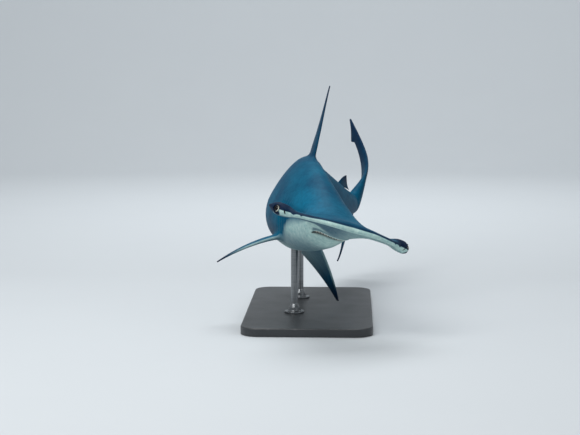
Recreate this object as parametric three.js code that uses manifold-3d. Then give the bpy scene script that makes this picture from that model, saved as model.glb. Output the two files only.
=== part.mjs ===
// Adult scalloped hammerhead shark as a still, life-size display model.
// The body is modelled in its own frame: +X its left side, +Y back towards the tail, +Z up,
// with the middle of the snout at the origin. The whole animal is then banked and turned in
// one group, and held over a flat base by two short rods.
import * as THREE from 'three';
import { mergeVertices } from 'three/addons/utils/BufferGeometryUtils.js';
import Module from 'manifold-3d';

// Driving dimensions in millimetres, angles in degrees
const totalLength = 2400;
const hammerHalf = 311;
const seam = 0.3;

// How the swimmer hangs over its base
const pose = { yaw: 21, pitch: 4.4, bank: 16.8, snout: [190, -790, 465] };

// Bend of the spine: distance back from the snout, heading towards the shark's left
const spineBend = [[0, 0], [384, 0], [672, 9.2], [960, 23.4], [1248, 44], [1536, 44], [1824, 36.4],
  [2112, -7.2], [2400, -4]];
const tailDroop = 27;

// Body lines: distance back from the snout, then the distance from the spine line
const backLine = [[0, 17], [72, 30], [144, 50], [240, 82], [300, 103], [456, 156], [624, 199], [768, 216],
  [960, 209], [1200, 169], [1440, 122], [1632, 86], [1764, 70]];
const bellyLine = [[0, 12], [36, 17], [72, 31], [144, 54], [240, 103], [300, 125], [456, 166], [624, 189],
  [768, 191], [960, 174], [1200, 138], [1440, 89], [1632, 52], [1764, 31]];
const sideLine = [[300, 107], [456, 121], [624, 127], [768, 127], [960, 124], [1200, 109], [1440, 84],
  [1632, 60], [1764, 43]];
// Level of the widest point of the section, and how sharply the back rises to its ridge
const widestLine = [[0, 0], [300, 0], [456, -18], [624, -30], [768, -35], [960, -32], [1200, -22],
  [1440, -8], [1764, 0]];
const ridgeLine = [[0, 1.1], [300, 1.15], [456, 1.4], [624, 1.62], [960, 1.6], [1200, 1.4], [1440, 1.2],
  [1764, 1.1]];
const bellyFlat = 0.86;

// Plan of the hammer
const neck = { back: 300, half: 107 };
const frontArch = { rise: 83, power: 2.2 };
const frontNotches = [
  { at: 0, deep: 9, wide: 22 },
  { at: 142, deep: 6, wide: 20 },
  { at: 256, deep: 7, wide: 11 },
];
const rearMargin = [[107, 300], [118, 248], [139, 213], [173, 191], [216, 178], [259, 168], [295, 192]];
// Its end is round in front and squarer behind
const tip = { from: 295, frontHalf: 37, rearHalf: 72, square: 0.42 };
const blade = { noseRound: 40, tailRound: 65, endRound: 30 };
const bulb = { alongHalf: 48, acrossHalf: 48, back: 118, out: 280 };
// Flex of the hammer: its wings twist and droop, and the middle of its front edge is turned up
const flex = { twist: -9.5, droop: -3.5, brow: 14, browFrom: 20, browTo: 140 };

// Eyes at the ends of the hammer
const eye = { radius: 18.5, back: 107, out: 288.5, up: 2.5, forward: 28 };
const lid = { ring: 17, thick: 2.9, proud: 7.5, opening: 13.5, flare: 8.5 };

// Mouth, an arch under the head, with its lips and rows of teeth. sweep is how far round the arch
// its corners come, in parts of a half circle
const mouth = { front: 137, corner: 236, half: 73.5, sweep: 0.75, gape: 23, deep: 26 };
const lip = { upper: 6.8, lower: 9, sunk: 0.52 };
const teeth = { perRow: 15, reach: 0.78, tall: 9, wide: 6.5, root: 7, lean: 48, seed: 0.37 };

// Nostrils and gill slits. Each slit is a wedge that runs in under the raised flap before it
const nostril = { out: 274.5, long: 18, wide: 4.8, deep: 17, turn: 24, tilt: 62, up: -2 };
const gills = {
  count: 5, first: 432, pitch: 25, bow: 9, top: 16, bottom: -118,
  deep: 9, undercut: 9, ramp: 15, flap: 18, raise: 3.5,
};

// Where the body is parted into head, trunk and tail stalk, and where the tail fin starts
const parting = { neck: 366, stalk: 1404, caudal: 1764 };

// Fins on the ridges: distance back of the origin, length of the root, height, how far back the tip
// lies behind the origin, and how far it leans over to the left
const ridgeFins = {
  first_dorsal_fin: {
    origin: 720, up: 1, root: 236, tall: 334, sweep: 236, freeCorner: 108, lift: 9,
    tipChord: 14, frontBow: 26, rearBow: 62, thick: 19, tipThick: 4, lean: -13,
  },
  second_dorsal_fin: {
    origin: 1500, up: 1, root: 74, tall: 60, sweep: 72, freeCorner: 104, lift: 7,
    tipChord: 8, frontBow: 8, rearBow: 9, thick: 11, tipThick: 3, lean: 0,
  },
  anal_fin: {
    origin: 1452, up: -1, root: 128, tall: 84, sweep: 100, freeCorner: 66, lift: 7,
    tipChord: 9, frontBow: 9, rearBow: 26, thick: 13, tipThick: 3, lean: 0,
  },
};

// Paired fins, measured in the same way out from the flank
const pectoral = {
  origin: 509, rootSide: 96, rootUp: -140, root: 150, tall: 280, sweep: 108, freeCorner: 74,
  lift: 24, tipChord: 16, frontBow: 20, rearBow: 22, thick: 24, tipThick: 4,
};
const pectoralSet = {
  left: { droop: 43.5, twist: 16.8, arch: 0 },
  right: { droop: 39.2, twist: 12, arch: 0.2 },
};
const pelvic = {
  origin: 1140, rootSide: 52, rootUp: -128, droop: 62, twist: 4, arch: 0, root: 118, tall: 92, sweep: 88,
  freeCorner: 58, lift: 10, tipChord: 12, frontBow: 7, rearBow: 12, thick: 13, tipThick: 3,
};

// Tail fin outline: distance back along the spine, height over the spine line
const caudal = {
  tip: [2335, 444], backBow: 28, fork: [1925, 8], forkAt: 0.26, notch: [2210, 326], notchAt: 0.8, rearBow: 38,
  flap: [2247, 325], flapAt: 0.86, tipBlunt: [3, -8], thick: 18, tipThick: 5,
  lowerTip: [1956, -298], lowerFrontBow: -22, lowerRearBow: 26, lowerBlunt: [7, 4], lowerThick: 9,
  lowerTipThick: 3, lowerSunk: 22,
};

// Base and rods of the stand
const base = { long: 1120, wide: 560, thick: 36, corner: 80, edge: 6 };
const rod = { radius: 15, footRadius: 44, flange: 8, collar: 23, footHeight: 26, neckHeight: 40, sink: 60 };
const rodStations = { front: 664, rear: 1084 };

const ringSides = 32;
const wasm = await Module();
wasm.setup();

// Curves and small helpers

// Smooth curve through [x, y] knots that never overshoots them
function smoothCurve(knots) {
  const secant = [];
  for (let i = 0; i + 1 < knots.length; i += 1) {
    secant.push((knots[i + 1][1] - knots[i][1]) / (knots[i + 1][0] - knots[i][0]));
  }
  const slope = knots.map((_, i) => {
    if (i === 0) return secant[0];
    if (i === knots.length - 1) return secant[i - 1];
    const [a, b] = [secant[i - 1], secant[i]];
    return a * b <= 0 ? 0 : (2 * a * b) / (a + b);
  });
  return (x) => {
    const last = knots.length - 2;
    let i = 0;
    while (i < last && x > knots[i + 1][0]) i += 1;
    const span = knots[i + 1][0] - knots[i][0];
    const u = THREE.MathUtils.clamp((x - knots[i][0]) / span, 0, 1);
    const rise = knots[i + 1][1] - knots[i][1];
    const ease = u * u * (3 - 2 * u);
    return knots[i][1] + rise * ease
      + span * (slope[i] * u * (1 - u) ** 2 - slope[i + 1] * u * u * (1 - u));
  };
}

const rad = THREE.MathUtils.degToRad;
const lerp = THREE.MathUtils.lerp;
const smoothstep = THREE.MathUtils.smoothstep;
const backHeight = smoothCurve(backLine);
const bellyDepth = smoothCurve(bellyLine);
const sideWidth = smoothCurve(sideLine);
const widestLevel = smoothCurve(widestLine);
const ridgePower = smoothCurve(ridgeLine);
const heading = smoothCurve(spineBend);

// Height by which the flexed hammer stands over its middle plane at a point of its plan
function wingLift(side, back) {
  const u = side / 300;
  const brow = flex.brow * (1 - smoothstep(back, flex.browFrom, flex.browTo)) * (1 - Math.min(1, u * u));
  return flex.twist * u ** 3 + flex.droop * u ** 4 + brow;
}

// Edge rounding: 0 at the edge, 1 from the given distance inwards
function roundOff(distance, radius) {
  const u = 1 - THREE.MathUtils.clamp(distance / radius, 0, 1);
  return Math.sqrt(1 - u * u);
}

function softMax(a, b) {
  return (a ** 4 + b ** 4) ** 0.25;
}

// Spine as a table of points, one every few millimetres
const spineStep = 4;
const spineTable = [{ left: 0, back: 0 }];
for (let s = spineStep; s <= totalLength + 40; s += spineStep) {
  const h = rad(heading(s - spineStep / 2));
  const last = spineTable[spineTable.length - 1];
  spineTable.push({ left: last.left + spineStep * Math.sin(h), back: last.back + spineStep * Math.cos(h) });
}

// Carries a point of the straight animal onto the bent spine
function place(s, side, up) {
  const h = rad(heading(s));
  const i = THREE.MathUtils.clamp(Math.floor(s / spineStep), 0, spineTable.length - 2);
  const u = s / spineStep - i;
  const left = lerp(spineTable[i].left, spineTable[i + 1].left, u);
  const back = lerp(spineTable[i].back, spineTable[i + 1].back, u);
  const droop = tailDroop * (Math.max(0, s - 0.2 * totalLength) / (0.8 * totalLength)) ** 2;
  return new THREE.Vector3(left + side * Math.cos(h), back - side * Math.sin(h), up - droop);
}

// Closed solids from rings of points

// Joins rings of equal length into a closed geometry. Each half of a ring is split alike, so
// that the two faces of a thin blade never cross. closeStart and closeEnd add flat caps.
function ringSolid(rings, { closeStart = true, closeEnd = true } = {}) {
  const sides = rings[0].length;
  const points = rings.flat();
  const faces = [];
  for (let r = 0; r + 1 < rings.length; r += 1) {
    for (let j = 0; j < sides; j += 1) {
      const a = r * sides + j;
      const b = r * sides + (j + 1) % sides;
      const c = b + sides;
      const d = a + sides;
      if (j < Math.floor(sides / 2)) faces.push(a, b, c, a, c, d);
      else faces.push(a, b, d, b, c, d);
    }
  }
  const cap = (r, turned) => {
    const centre = rings[r].reduce((sum, p) => sum.add(p), new THREE.Vector3()).divideScalar(sides);
    points.push(centre);
    for (let j = 0; j < sides; j += 1) {
      const a = r * sides + j;
      const b = r * sides + (j + 1) % sides;
      if (turned) faces.push(b, a, points.length - 1);
      else faces.push(a, b, points.length - 1);
    }
  };
  if (closeStart) cap(0, true);
  if (closeEnd) cap(rings.length - 1, false);
  const geometry = new THREE.BufferGeometry();
  geometry.setAttribute('position', new THREE.Float32BufferAttribute(points.flatMap((p) => p.toArray()), 3));
  geometry.setIndex(faces);
  return outward(weld(geometry));
}

// Merges shared vertices and drops the triangles that this leaves empty
function weld(geometry) {
  const bare = geometry.clone();
  for (const name of Object.keys(bare.attributes)) {
    if (name !== 'position') bare.deleteAttribute(name);
  }
  const merged = mergeVertices(bare, 1e-3);
  const index = [];
  const old = merged.index.array;
  for (let i = 0; i < old.length; i += 3) {
    const [a, b, c] = [old[i], old[i + 1], old[i + 2]];
    if (a !== b && b !== c && c !== a) index.push(a, b, c);
  }
  merged.setIndex(index);
  return merged;
}

// Turns every face round when the enclosed volume comes out negative
function outward(geometry) {
  const p = geometry.attributes.position;
  const index = Array.from(geometry.index.array);
  const [a, b, c] = [new THREE.Vector3(), new THREE.Vector3(), new THREE.Vector3()];
  let volume = 0;
  for (let i = 0; i < index.length; i += 3) {
    a.fromBufferAttribute(p, index[i]);
    b.fromBufferAttribute(p, index[i + 1]);
    c.fromBufferAttribute(p, index[i + 2]);
    volume += a.dot(b.cross(c));
  }
  if (volume < 0) {
    for (let i = 0; i < index.length; i += 3) [index[i], index[i + 1]] = [index[i + 1], index[i]];
    geometry.setIndex(index);
  }
  return geometry;
}

function solidOf(geometry) {
  const clean = weld(geometry);
  return new wasm.Manifold(new wasm.Mesh({
    numProp: 3,
    vertProperties: new Float32Array(clean.attributes.position.array),
    triVerts: new Uint32Array(clean.index.array),
  }));
}

// Geometry of the largest closed body of a solid
function geometryOf(solid) {
  const largest = solid.decompose().sort((a, b) => b.volume() - a.volume())[0];
  const mesh = largest.getMesh();
  const geometry = new THREE.BufferGeometry();
  geometry.setAttribute('position', new THREE.Float32BufferAttribute(mesh.vertProperties, 3));
  geometry.setIndex(Array.from(mesh.triVerts));
  return geometry;
}

// The body's own surface

// Unit section: angle 0 points to the shark's left, a quarter turn points up
function sectionPoint(s, angle, grow) {
  return place(s, Math.cos(angle) * (sideWidth(s) + grow), sectionUp(s, Math.sin(angle), grow));
}

function sectionUp(s, rise, grow = 0) {
  const level = widestLevel(s);
  return rise >= 0
    ? level + (backHeight(s) - level + grow) * rise ** ridgePower(s)
    : level - (bellyDepth(s) + level + grow) * (-rise) ** bellyFlat;
}

function bodyRing(s, grow = 0) {
  return Array.from({ length: ringSides }, (_, j) => sectionPoint(s, (j / ringSides) * 2 * Math.PI, grow));
}

function stations(from, to, count) {
  return Array.from({ length: count + 1 }, (_, i) => lerp(from, to, i / count));
}

// Front edge of the hammer at a distance out from the middle
function frontEdge(out) {
  const arch = frontArch.rise * (out / tip.from) ** frontArch.power;
  return frontNotches.reduce((sum, n) => sum + n.deep * Math.exp(-(((out - n.at) / n.wide) ** 2)), arch);
}

const rearCurve = smoothCurve(rearMargin);
const tipMiddle = frontEdge(tip.from) + tip.frontHalf;

// Front and rear edge at a distance out, closed round the end of the hammer
function edgesAt(out) {
  if (out > tip.from) {
    const u = Math.min(1, (out - tip.from) / (hammerHalf - tip.from));
    const rear = tipMiddle + tip.rearHalf * Math.sqrt(1 - u ** (2 / tip.square));
    return [tipMiddle - tip.frontHalf * Math.sqrt(1 - u * u), rear];
  }
  return [frontEdge(out), out < neck.half ? Infinity : rearCurve(out)];
}

// Rim of the hammer from the neck out along its rear edge and round its end, q from 0 to 1
function rimPoint(q) {
  const rearShare = 0.7;
  if (q < rearShare) {
    const out = lerp(neck.half, tip.from, (q / rearShare) ** 1.5);
    return [rearCurve(out), out];
  }
  const turn = Math.PI * (q - rearShare) / (1 - rearShare);
  const rear = turn < Math.PI / 2;
  const back = tipMiddle + (rear ? tip.rearHalf : tip.frontHalf) * Math.cos(turn);
  return [back, lerp(tip.from, hammerHalf, Math.abs(Math.sin(turn)) ** (rear ? tip.square : 1))];
}

// Plan of the head: q runs from the neck ring to the front edge, eta from side to side
function headPlan(q, eta) {
  const side = Math.abs(eta);
  const frontOut = side * tip.from;
  const lineBack = lerp(neck.back, frontEdge(frontOut), q);
  const lineOut = lerp(side * neck.half, frontOut, q);
  const edgeBack = lerp(neck.back, frontEdge(tip.from), q);
  const edgeOut = lerp(neck.half, tip.from, q);
  const [rimBack, rimOut] = rimPoint(q);
  const pull = side ** 3.5;
  return [lineBack + pull * (rimBack - edgeBack), lineOut + pull * (rimOut - edgeOut)];
}

// Height of the head above, or depth below, its middle plane. The dome of the skull falls away to
// the sides with a power that grows towards the front, and the blade swells round the eye.
function headHeight(q, eta, back, out, { line, power, narrow, until, half, swell }) {
  const side = Math.min(1, Math.abs(eta));
  const [front, rear] = edgesAt(out);
  const nose = roundOff(back - front, blade.noseRound);
  const fall = lerp(0.5 * power, narrow, smoothstep(q, 0, until));
  const middle = line(Math.max(0, back)) * (1 - side * side) ** fall * nose;
  const bell = Math.exp(-(((back - bulb.back) / bulb.alongHalf) ** 2)
    - (((out - bulb.out) / bulb.acrossHalf) ** 4));
  const wing = (half + swell * bell) * nose * roundOff(rear - back, blade.tailRound)
    * roundOff(hammerHalf - out, blade.endRound) * smoothstep(q, 0, 0.35);
  return softMax(middle, wing);
}

const headTop = {
  line: backHeight, power: ridgePower(neck.back), narrow: 2, until: 0.55, half: 14, swell: 15,
};
const headUnder = { line: bellyDepth, power: bellyFlat, narrow: 5, until: 0.6, half: 13, swell: 11 };

function headRing(q) {
  return Array.from({ length: ringSides }, (_, j) => {
    const angle = (j / ringSides) * 2 * Math.PI;
    const eta = Math.cos(angle);
    const rise = Math.sin(angle);
    const [back, out] = headPlan(q, eta);
    const flat = Math.abs(rise) < 1e-6 || q === 1;
    const face = rise > 0 ? headTop : headUnder;
    const up = flat ? 0 : Math.sign(rise) * headHeight(q, eta, back, out, face);
    const side = Math.sign(eta) * out;
    return place(back, side, up + wingLift(side, back) * smoothstep(q, 0, 0.3));
  });
}

// Rings from the front edge back to the neck, closest together at the edge
function headRings(count) {
  const rings = Array.from({ length: count }, (_, i) => headRing(Math.cos((i / count) * Math.PI / 2)));
  return [...rings, headRing(0)];
}

const headCount = 16;
const headStations = stations(neck.back, parting.neck - seam / 2, 3);
const trunkStations = stations(parting.neck + seam / 2, parting.stalk - seam / 2, 20);
const stalkStations = stations(parting.stalk + seam / 2, parting.caudal - seam / 2, 8);

function bodySolid(list, grow = 0) {
  return solidOf(ringSolid(list.map((s) => bodyRing(s, grow))));
}

// The body with its skin moved out by the seam, to cut whatever grows from it
const grownBody = bodySolid([...headStations, ...trunkStations, ...stalkStations], seam * 1.2);

// Fins

// Rounded wing section: half thickness along the chord, 1 at its thickest
function wingShape(u) {
  return 10 * (0.2969 * Math.sqrt(u) - 0.126 * u - 0.3516 * u ** 2 + 0.2843 * u ** 3 - 0.1015 * u ** 4);
}

// Point of the arc from a to b that bows sideways by the given distance at its middle
function bowed(a, b, bow, t) {
  const length = Math.hypot(b[0] - a[0], b[1] - a[1]);
  const off = (4 * bow * t * (1 - t)) / length;
  return [lerp(a[0], b[0], t) - off * (b[1] - a[1]), lerp(a[1], b[1], t) + off * (b[0] - a[0])];
}

// Outline of a fin as a front and a rear edge, both run from the root (t = 0) to the tip (t = 1).
// Each gives the distance back along the root and the distance out from the body. The rear edge
// first runs out to the free rear corner, which lies a little off the body.
function finEdges({ root, tall, sweep, freeCorner, lift, tipChord, frontBow, rearBow }) {
  const corner = [root + freeCorner, lift];
  const tipCorner = [sweep + tipChord, tall - tipChord * 0.4];
  const cornerShare = 0.2;
  return {
    lead: (t) => bowed([0, 0], [sweep, tall], frontBow, t),
    trail: (t) => (t < cornerShare
      ? bowed([root, 0], corner, 2, t / cornerShare)
      : bowed(corner, tipCorner, rearBow, (t - cornerShare) / (1 - cornerShare))),
  };
}

const finEdge = 0.7;
const finFillet = { reach: 26, extra: 7 };

// Solid fin blade. put(along, out, side) carries a point of the flat blade to its place.
function finSolid({ edges, root, thick, tipThick, put, rootDepth = 30, rows = 11, chordSteps = 7 }) {
  const ring = (t, sink) => {
    const [a, b] = [edges.lead(t), edges.trail(t)];
    const point = (i, face) => {
      const u = 0.5 * (1 - Math.cos((i / chordSteps) * Math.PI));
      const along = lerp(a[0], b[0], u);
      const out = lerp(a[1], b[1], u) - sink;
      const near = 1 - roundOff(out, finFillet.reach);
      const attached = 1 - smoothstep(along, root * 0.85, root * 1.05);
      const half = (lerp(thick, tipThick, t) / 2) * wingShape(u) + (i === 0 ? 0 : finEdge)
        + finFillet.extra * near * attached * Math.sqrt(Math.min(1, u * 8));
      const forward = finFillet.extra * near * (1 - u) ** 6;
      return put(along - forward, out, i === 0 ? 0 : face * half);
    };
    const upper = Array.from({ length: chordSteps + 1 }, (_, k) => point(chordSteps - k, 1));
    const lower = Array.from({ length: chordSteps }, (_, k) => point(k + 1, -1));
    return [...upper, ...lower];
  };
  const rings = [ring(0, rootDepth)];
  for (let r = 0; r <= rows; r += 1) rings.push(ring((r / rows) ** 1.25, 0));
  return solidOf(ringSolid(rings));
}

// Fins on the ridge of the back or the belly follow the bend of the spine
function ridgeFin({ origin, up, lean, ...size }) {
  const line = up > 0 ? backHeight : bellyDepth;
  const edges = finEdges(size);
  const put = (along, out, side) => {
    const s = origin + along;
    const over = lean * (Math.max(0, out) / size.tall) ** 2;
    return place(s, side + over, up * (line(s) + out));
  };
  return finSolid({ ...size, edges, put }).subtract(grownBody);
}

// Paired fins stand on the flank: droop is the angle below level, twist lifts the front edge and
// arch is the rise of the bowed blade as a share of its height
function pairedFin({ side, origin, rootSide, rootUp, droop, twist, arch, ...size }) {
  const edges = finEdges(size);
  const span = new THREE.Vector3(0, side * Math.cos(rad(droop)), -Math.sin(rad(droop)));
  const under = new THREE.Vector3(0, -side * Math.sin(rad(droop)), -Math.cos(rad(droop)));
  const chord = new THREE.Vector3(Math.cos(rad(twist)), 0, 0).addScaledVector(under, Math.sin(rad(twist)));
  const face = new THREE.Vector3().crossVectors(chord, span).multiplyScalar(side);
  const put = (along, out, offset) => {
    const share = Math.max(0, out) / size.tall;
    const bow = arch * size.tall * share * (1 - share);
    const p = new THREE.Vector3(origin, side * rootSide, rootUp)
      .addScaledVector(chord, along).addScaledVector(span, out).addScaledVector(face, offset + bow);
    return place(p.x, p.y, p.z);
  };
  return finSolid({ ...size, edges, put, rootDepth: 40 }).subtract(grownBody);
}

// Tail fin

const tailTop = [parting.caudal, backHeight(parting.caudal)];
const tailUnder = [parting.caudal, -bellyDepth(parting.caudal)];

// Rear outline of the upper lobe, in stretches that end at the given shares of its length
const rearOutline = [
  { to: caudal.forkAt, end: caudal.fork, bow: 0 },
  { to: caudal.notchAt, end: caudal.notch, bow: caudal.rearBow },
  { to: caudal.flapAt, end: caudal.flap, bow: -3 },
  { to: 1, end: [caudal.tip[0] + caudal.tipBlunt[0], caudal.tip[1] + caudal.tipBlunt[1]], bow: 5 },
];

function tailRear(t) {
  const i = rearOutline.findIndex((stretch) => t <= stretch.to);
  const before = i === 0 ? { to: 0, end: tailUnder } : rearOutline[i - 1];
  const { to, end, bow } = rearOutline[i];
  return bowed(before.end, end, bow, (t - before.to) / (to - before.to));
}

// Upper lobe: starts as the section of the tail stalk and flattens into a blade
function upperLobe() {
  const sides = 22;
  const flatFrom = 0.3;
  const [top, bottom] = [backHeight(parting.caudal), bellyDepth(parting.caudal)];
  const ring = (t) => Array.from({ length: sides }, (_, j) => {
    const turn = (j / sides) * 2 * Math.PI;
    const across = Math.abs(Math.sin(turn)) < 1e-6 ? 0 : Math.sin(turn);
    const flat = smoothstep(t, 0, flatFrom);
    const stalkUp = sectionUp(parting.caudal, Math.cos(turn));
    const u = lerp((top - stalkUp) / (top + bottom), 0.5 * (1 - Math.cos(turn)), flat);
    const [a, b] = [bowed(tailTop, caudal.tip, caudal.backBow, t), tailRear(t)];
    const half = lerp(caudal.tipThick, caudal.thick, (1 - t) ** 2) * wingShape(u);
    const edge = finEdge * Math.min(1, 8 * u * (1.02 - u));
    const side = lerp(across * sideWidth(parting.caudal), Math.sign(across) * (half + edge), flat);
    return place(lerp(a[0], b[0], u) + seam / 2, side, lerp(a[1], b[1], u));
  });
  const evenly = [0, 0.04, 0.08, 0.13, 0.19, 0.26, 0.34, 0.43, 0.53, 0.63, 0.72];
  const nearNotch = [0, 0.5].map((share) => lerp(caudal.notchAt, caudal.flapAt, share));
  const terminal = stations(caudal.flapAt, 1, 3);
  return solidOf(ringSolid([...evenly, ...nearNotch, ...terminal].map(ring)));
}

// Lower lobe: a fin that hangs from the line between its origin and the fork
function lowerLobe() {
  const start = [parting.caudal + seam, -bellyDepth(parting.caudal)];
  const along = (t) => bowed(start, caudal.fork, 0, t);
  const rearTip = [caudal.lowerTip[0] + caudal.lowerBlunt[0], caudal.lowerTip[1] + caudal.lowerBlunt[1]];
  const steps = 7;
  const ring = (t, lift) => {
    const a = bowed(start, caudal.lowerTip, caudal.lowerFrontBow, t);
    const b = bowed(caudal.fork, rearTip, -caudal.lowerRearBow, t);
    const point = (i, face) => {
      const u = 0.5 * (1 - Math.cos((i / steps) * Math.PI));
      const half = lerp(caudal.lowerThick, caudal.lowerTipThick, t) * wingShape(u) + (i === 0 ? 0 : finEdge);
      return place(lerp(a[0], b[0], u), i === 0 ? 0 : face * half, lerp(a[1], b[1], u) + lift);
    };
    const upper = Array.from({ length: steps + 1 }, (_, k) => point(steps - k, 1));
    const lower = Array.from({ length: steps }, (_, k) => point(k + 1, -1));
    return [...upper, ...lower];
  };
  const rings = [ring(0, caudal.lowerSunk), ...stations(0, 1, 8).map((t) => ring(t, 0))];
  const past = 0.06;
  const wide = 90;
  const slab = stations(-past, 1 + past, 5).map((t) => {
    const [s, up] = along(t);
    const corners = [[wide, -1], [wide, 1], [-wide, 1], [-wide, -1]];
    return corners.map(([side, face]) => place(s, side, up + face * seam / 2));
  });
  return { blade: solidOf(ringSolid(rings)), slab: solidOf(ringSolid(slab)) };
}

// Head: hammer, neck, lids, mouth, nostrils and teeth

const headRaw = solidOf(ringSolid([...headRings(headCount), ...headStations.slice(1).map((s) => bodyRing(s))],
  { closeStart: false }));
const headMesh = new THREE.Mesh(geometryOf(headRaw), new THREE.MeshBasicMaterial({ side: THREE.DoubleSide }));

// Underside of the head below a point of its plan
function underside(back, out) {
  const ray = new THREE.Raycaster(new THREE.Vector3(out, back, -600), new THREE.Vector3(0, 0, 1));
  return ray.intersectObject(headMesh)[0].point.z;
}

const mouthSteps = 14;

// Line of the mouth, t from -1 at the right corner to 1 at the left one
function mouthLine(t) {
  const turn = (Math.PI / 2) * mouth.sweep;
  return [lerp(mouth.front, mouth.corner, t * t), (mouth.half * Math.sin(t * turn)) / Math.sin(turn)];
}

// How far the mouth is open, 1 in the middle and closing towards its corners
function mouthOpen(t) {
  return Math.max(0.12, Math.max(0, 1 - t * t) ** 0.85);
}

function mouthCutter() {
  const below = 16;
  const rings = stations(-1, 1, mouthSteps).map((t) => {
    const [back, out] = mouthLine(t);
    const open = (mouth.gape / 2) * mouthOpen(t);
    const up = underside(back, out);
    const wall = [[1, -below], [0.8, 0], [1.2, mouth.deep * mouthOpen(t)]];
    const front = wall.map(([wide, z]) => new THREE.Vector3(out, back - wide * open, up + z));
    const rear = wall.map(([wide, z]) => new THREE.Vector3(out, back + wide * open, up + z));
    return [front[0], ...rear, front[2], front[1]];
  });
  return solidOf(ringSolid(rings));
}

// Soft roll of one lip, sunk into the skin by a share of its radius: jaw is -1 for the upper lip
function lipSolid(jaw) {
  const sides = 6;
  const rings = stations(-1, 1, mouthSteps).map((t) => {
    const [back, out] = mouthLine(t);
    const radius = (jaw < 0 ? lip.upper : lip.lower) * lerp(0.6, 1, mouthOpen(t));
    const edge = back + jaw * ((mouth.gape / 2) * mouthOpen(t) + radius * 0.7);
    const up = underside(edge, out) + lip.sunk * radius;
    return Array.from({ length: sides }, (_, j) => {
      const angle = (j / sides) * 2 * Math.PI;
      return new THREE.Vector3(out, edge + radius * Math.cos(angle), up - radius * Math.sin(angle));
    });
  });
  return solidOf(ringSolid(rings));
}

// Rows of small pointed teeth just inside both lips
function toothSolids() {
  const list = [];
  for (const jaw of [-1, 1]) {
    for (const t of stations(-teeth.reach, teeth.reach, teeth.perRow - 1)) {
      const [back, out] = mouthLine(t);
      const tall = teeth.tall * (0.85 + 0.15 * Math.sin(out + teeth.seed));
      const cone = new THREE.ConeGeometry(teeth.wide / 2, tall + 4, 4);
      cone.rotateX(jaw < 0 ? 0 : Math.PI);
      cone.rotateX(jaw * rad(teeth.lean));
      cone.translate(out, back + jaw * 0.4 * mouth.gape * mouthOpen(t), underside(back, out) + teeth.root);
      list.push(solidOf(cone));
    }
  }
  return list;
}

function nostrilCutter(side) {
  const slot = new THREE.SphereGeometry(1, 12, 8);
  const [out, edge] = [side * nostril.out, frontEdge(nostril.out)];
  slot.scale(nostril.long / 2, nostril.deep, nostril.wide / 2);
  slot.rotateY(-side * rad(nostril.tilt));
  slot.rotateZ(side * rad(nostril.turn));
  slot.translate(out, edge, wingLift(out, edge) + nostril.up);
  return solidOf(slot);
}

// Sets a shape made along +Y into the eye's place, so that +Y becomes the eye's line of sight
function intoSocket(geometry, side) {
  geometry.rotateZ(-side * rad(90 + eye.forward));
  geometry.translate(side * eye.out, eye.back, eye.up + wingLift(side * eye.out, eye.back));
  return geometry;
}

function eyeGeometry(side, grow = 0) {
  return intoSocket(new THREE.SphereGeometry(eye.radius + grow, 18, 12), side);
}

// Rim of the lids round the eye
function lidSolid(side) {
  const ring = new THREE.TorusGeometry(lid.ring, lid.thick, 8, 20);
  ring.rotateX(Math.PI / 2);
  ring.translate(0, lid.proud, 0);
  return solidOf(intoSocket(ring, side));
}

// Clears the flesh from in front of the eye
function eyeOpening(side) {
  const clear = new THREE.CylinderGeometry(lid.opening + lid.flare, lid.opening, 2 * eye.radius, 20);
  clear.translate(0, eye.radius, 0);
  return solidOf(intoSocket(clear, side));
}

let headSolid = headRaw.add(lipSolid(-1)).add(lipSolid(1)).subtract(mouthCutter());
for (const side of [-1, 1]) {
  headSolid = headSolid.add(lidSolid(side));
  headSolid = headSolid.subtract(solidOf(eyeGeometry(side, seam))).subtract(eyeOpening(side));
  headSolid = headSolid.subtract(nostrilCutter(side));
}
for (const tooth of toothSolids()) headSolid = headSolid.add(tooth);

// Trunk with its gill flaps

// Section angle at which the flank reaches a height
function flankAngle(s, up) {
  const level = widestLevel(s);
  return up > level
    ? Math.asin(((up - level) / (backHeight(s) - level)) ** (1 / ridgePower(s)))
    : -Math.asin(((level - up) / (bellyDepth(s) + level)) ** (1 / bellyFlat));
}

// Runs a three-cornered section down the line of one gill slit. corners(size) gives the distance
// along the body and off the skin of each corner, with size falling away to both ends of the slit
function gillSweep(side, index, corners) {
  const rings = stations(0, 1, 7).map((t) => {
    const up = lerp(gills.top, gills.bottom, t);
    const size = Math.max(0.12, Math.sin(Math.PI * t) ** 0.5);
    const s = gills.first + gills.pitch * index + gills.bow * (2 * t - 1) ** 2;
    const angle = flankAngle(s, up);
    const out = sideWidth(s) * Math.cos(angle);
    const normal = [Math.cos(angle), Math.sin(angle)];
    return corners(size)
      .map(([along, off]) => place(s + along, side * (out + off * normal[0]), up + off * normal[1]));
  });
  return solidOf(ringSolid(rings));
}

const offSkin = 5;
const flapCorners = (size) => [[1, gills.raise * size], [1, -offSkin], [-gills.flap, -offSkin / 2]];
const slitCorners = (size) => [
  [-1.5 * size, offSkin],
  [-gills.undercut * size, -gills.deep * size],
  [gills.ramp * size, offSkin],
];

let trunkSolid = bodySolid(trunkStations);
for (const side of [-1, 1]) {
  for (let i = 0; i < gills.count; i += 1) {
    trunkSolid = trunkSolid.add(gillSweep(side, i, flapCorners));
  }
  for (let i = 0; i < gills.count; i += 1) {
    trunkSolid = trunkSolid.subtract(gillSweep(side, i, slitCorners));
  }
}

const lower = lowerLobe();
const tailLobes = upperLobe().add(lower.blade).subtract(grownBody).subtract(lower.slab)
  .decompose().sort((a, b) => b.volume() - a.volume());

// Finishes
function finish(color, roughness, metalness = 0) {
  return new THREE.MeshStandardMaterial({ color, roughness, metalness });
}

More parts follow.
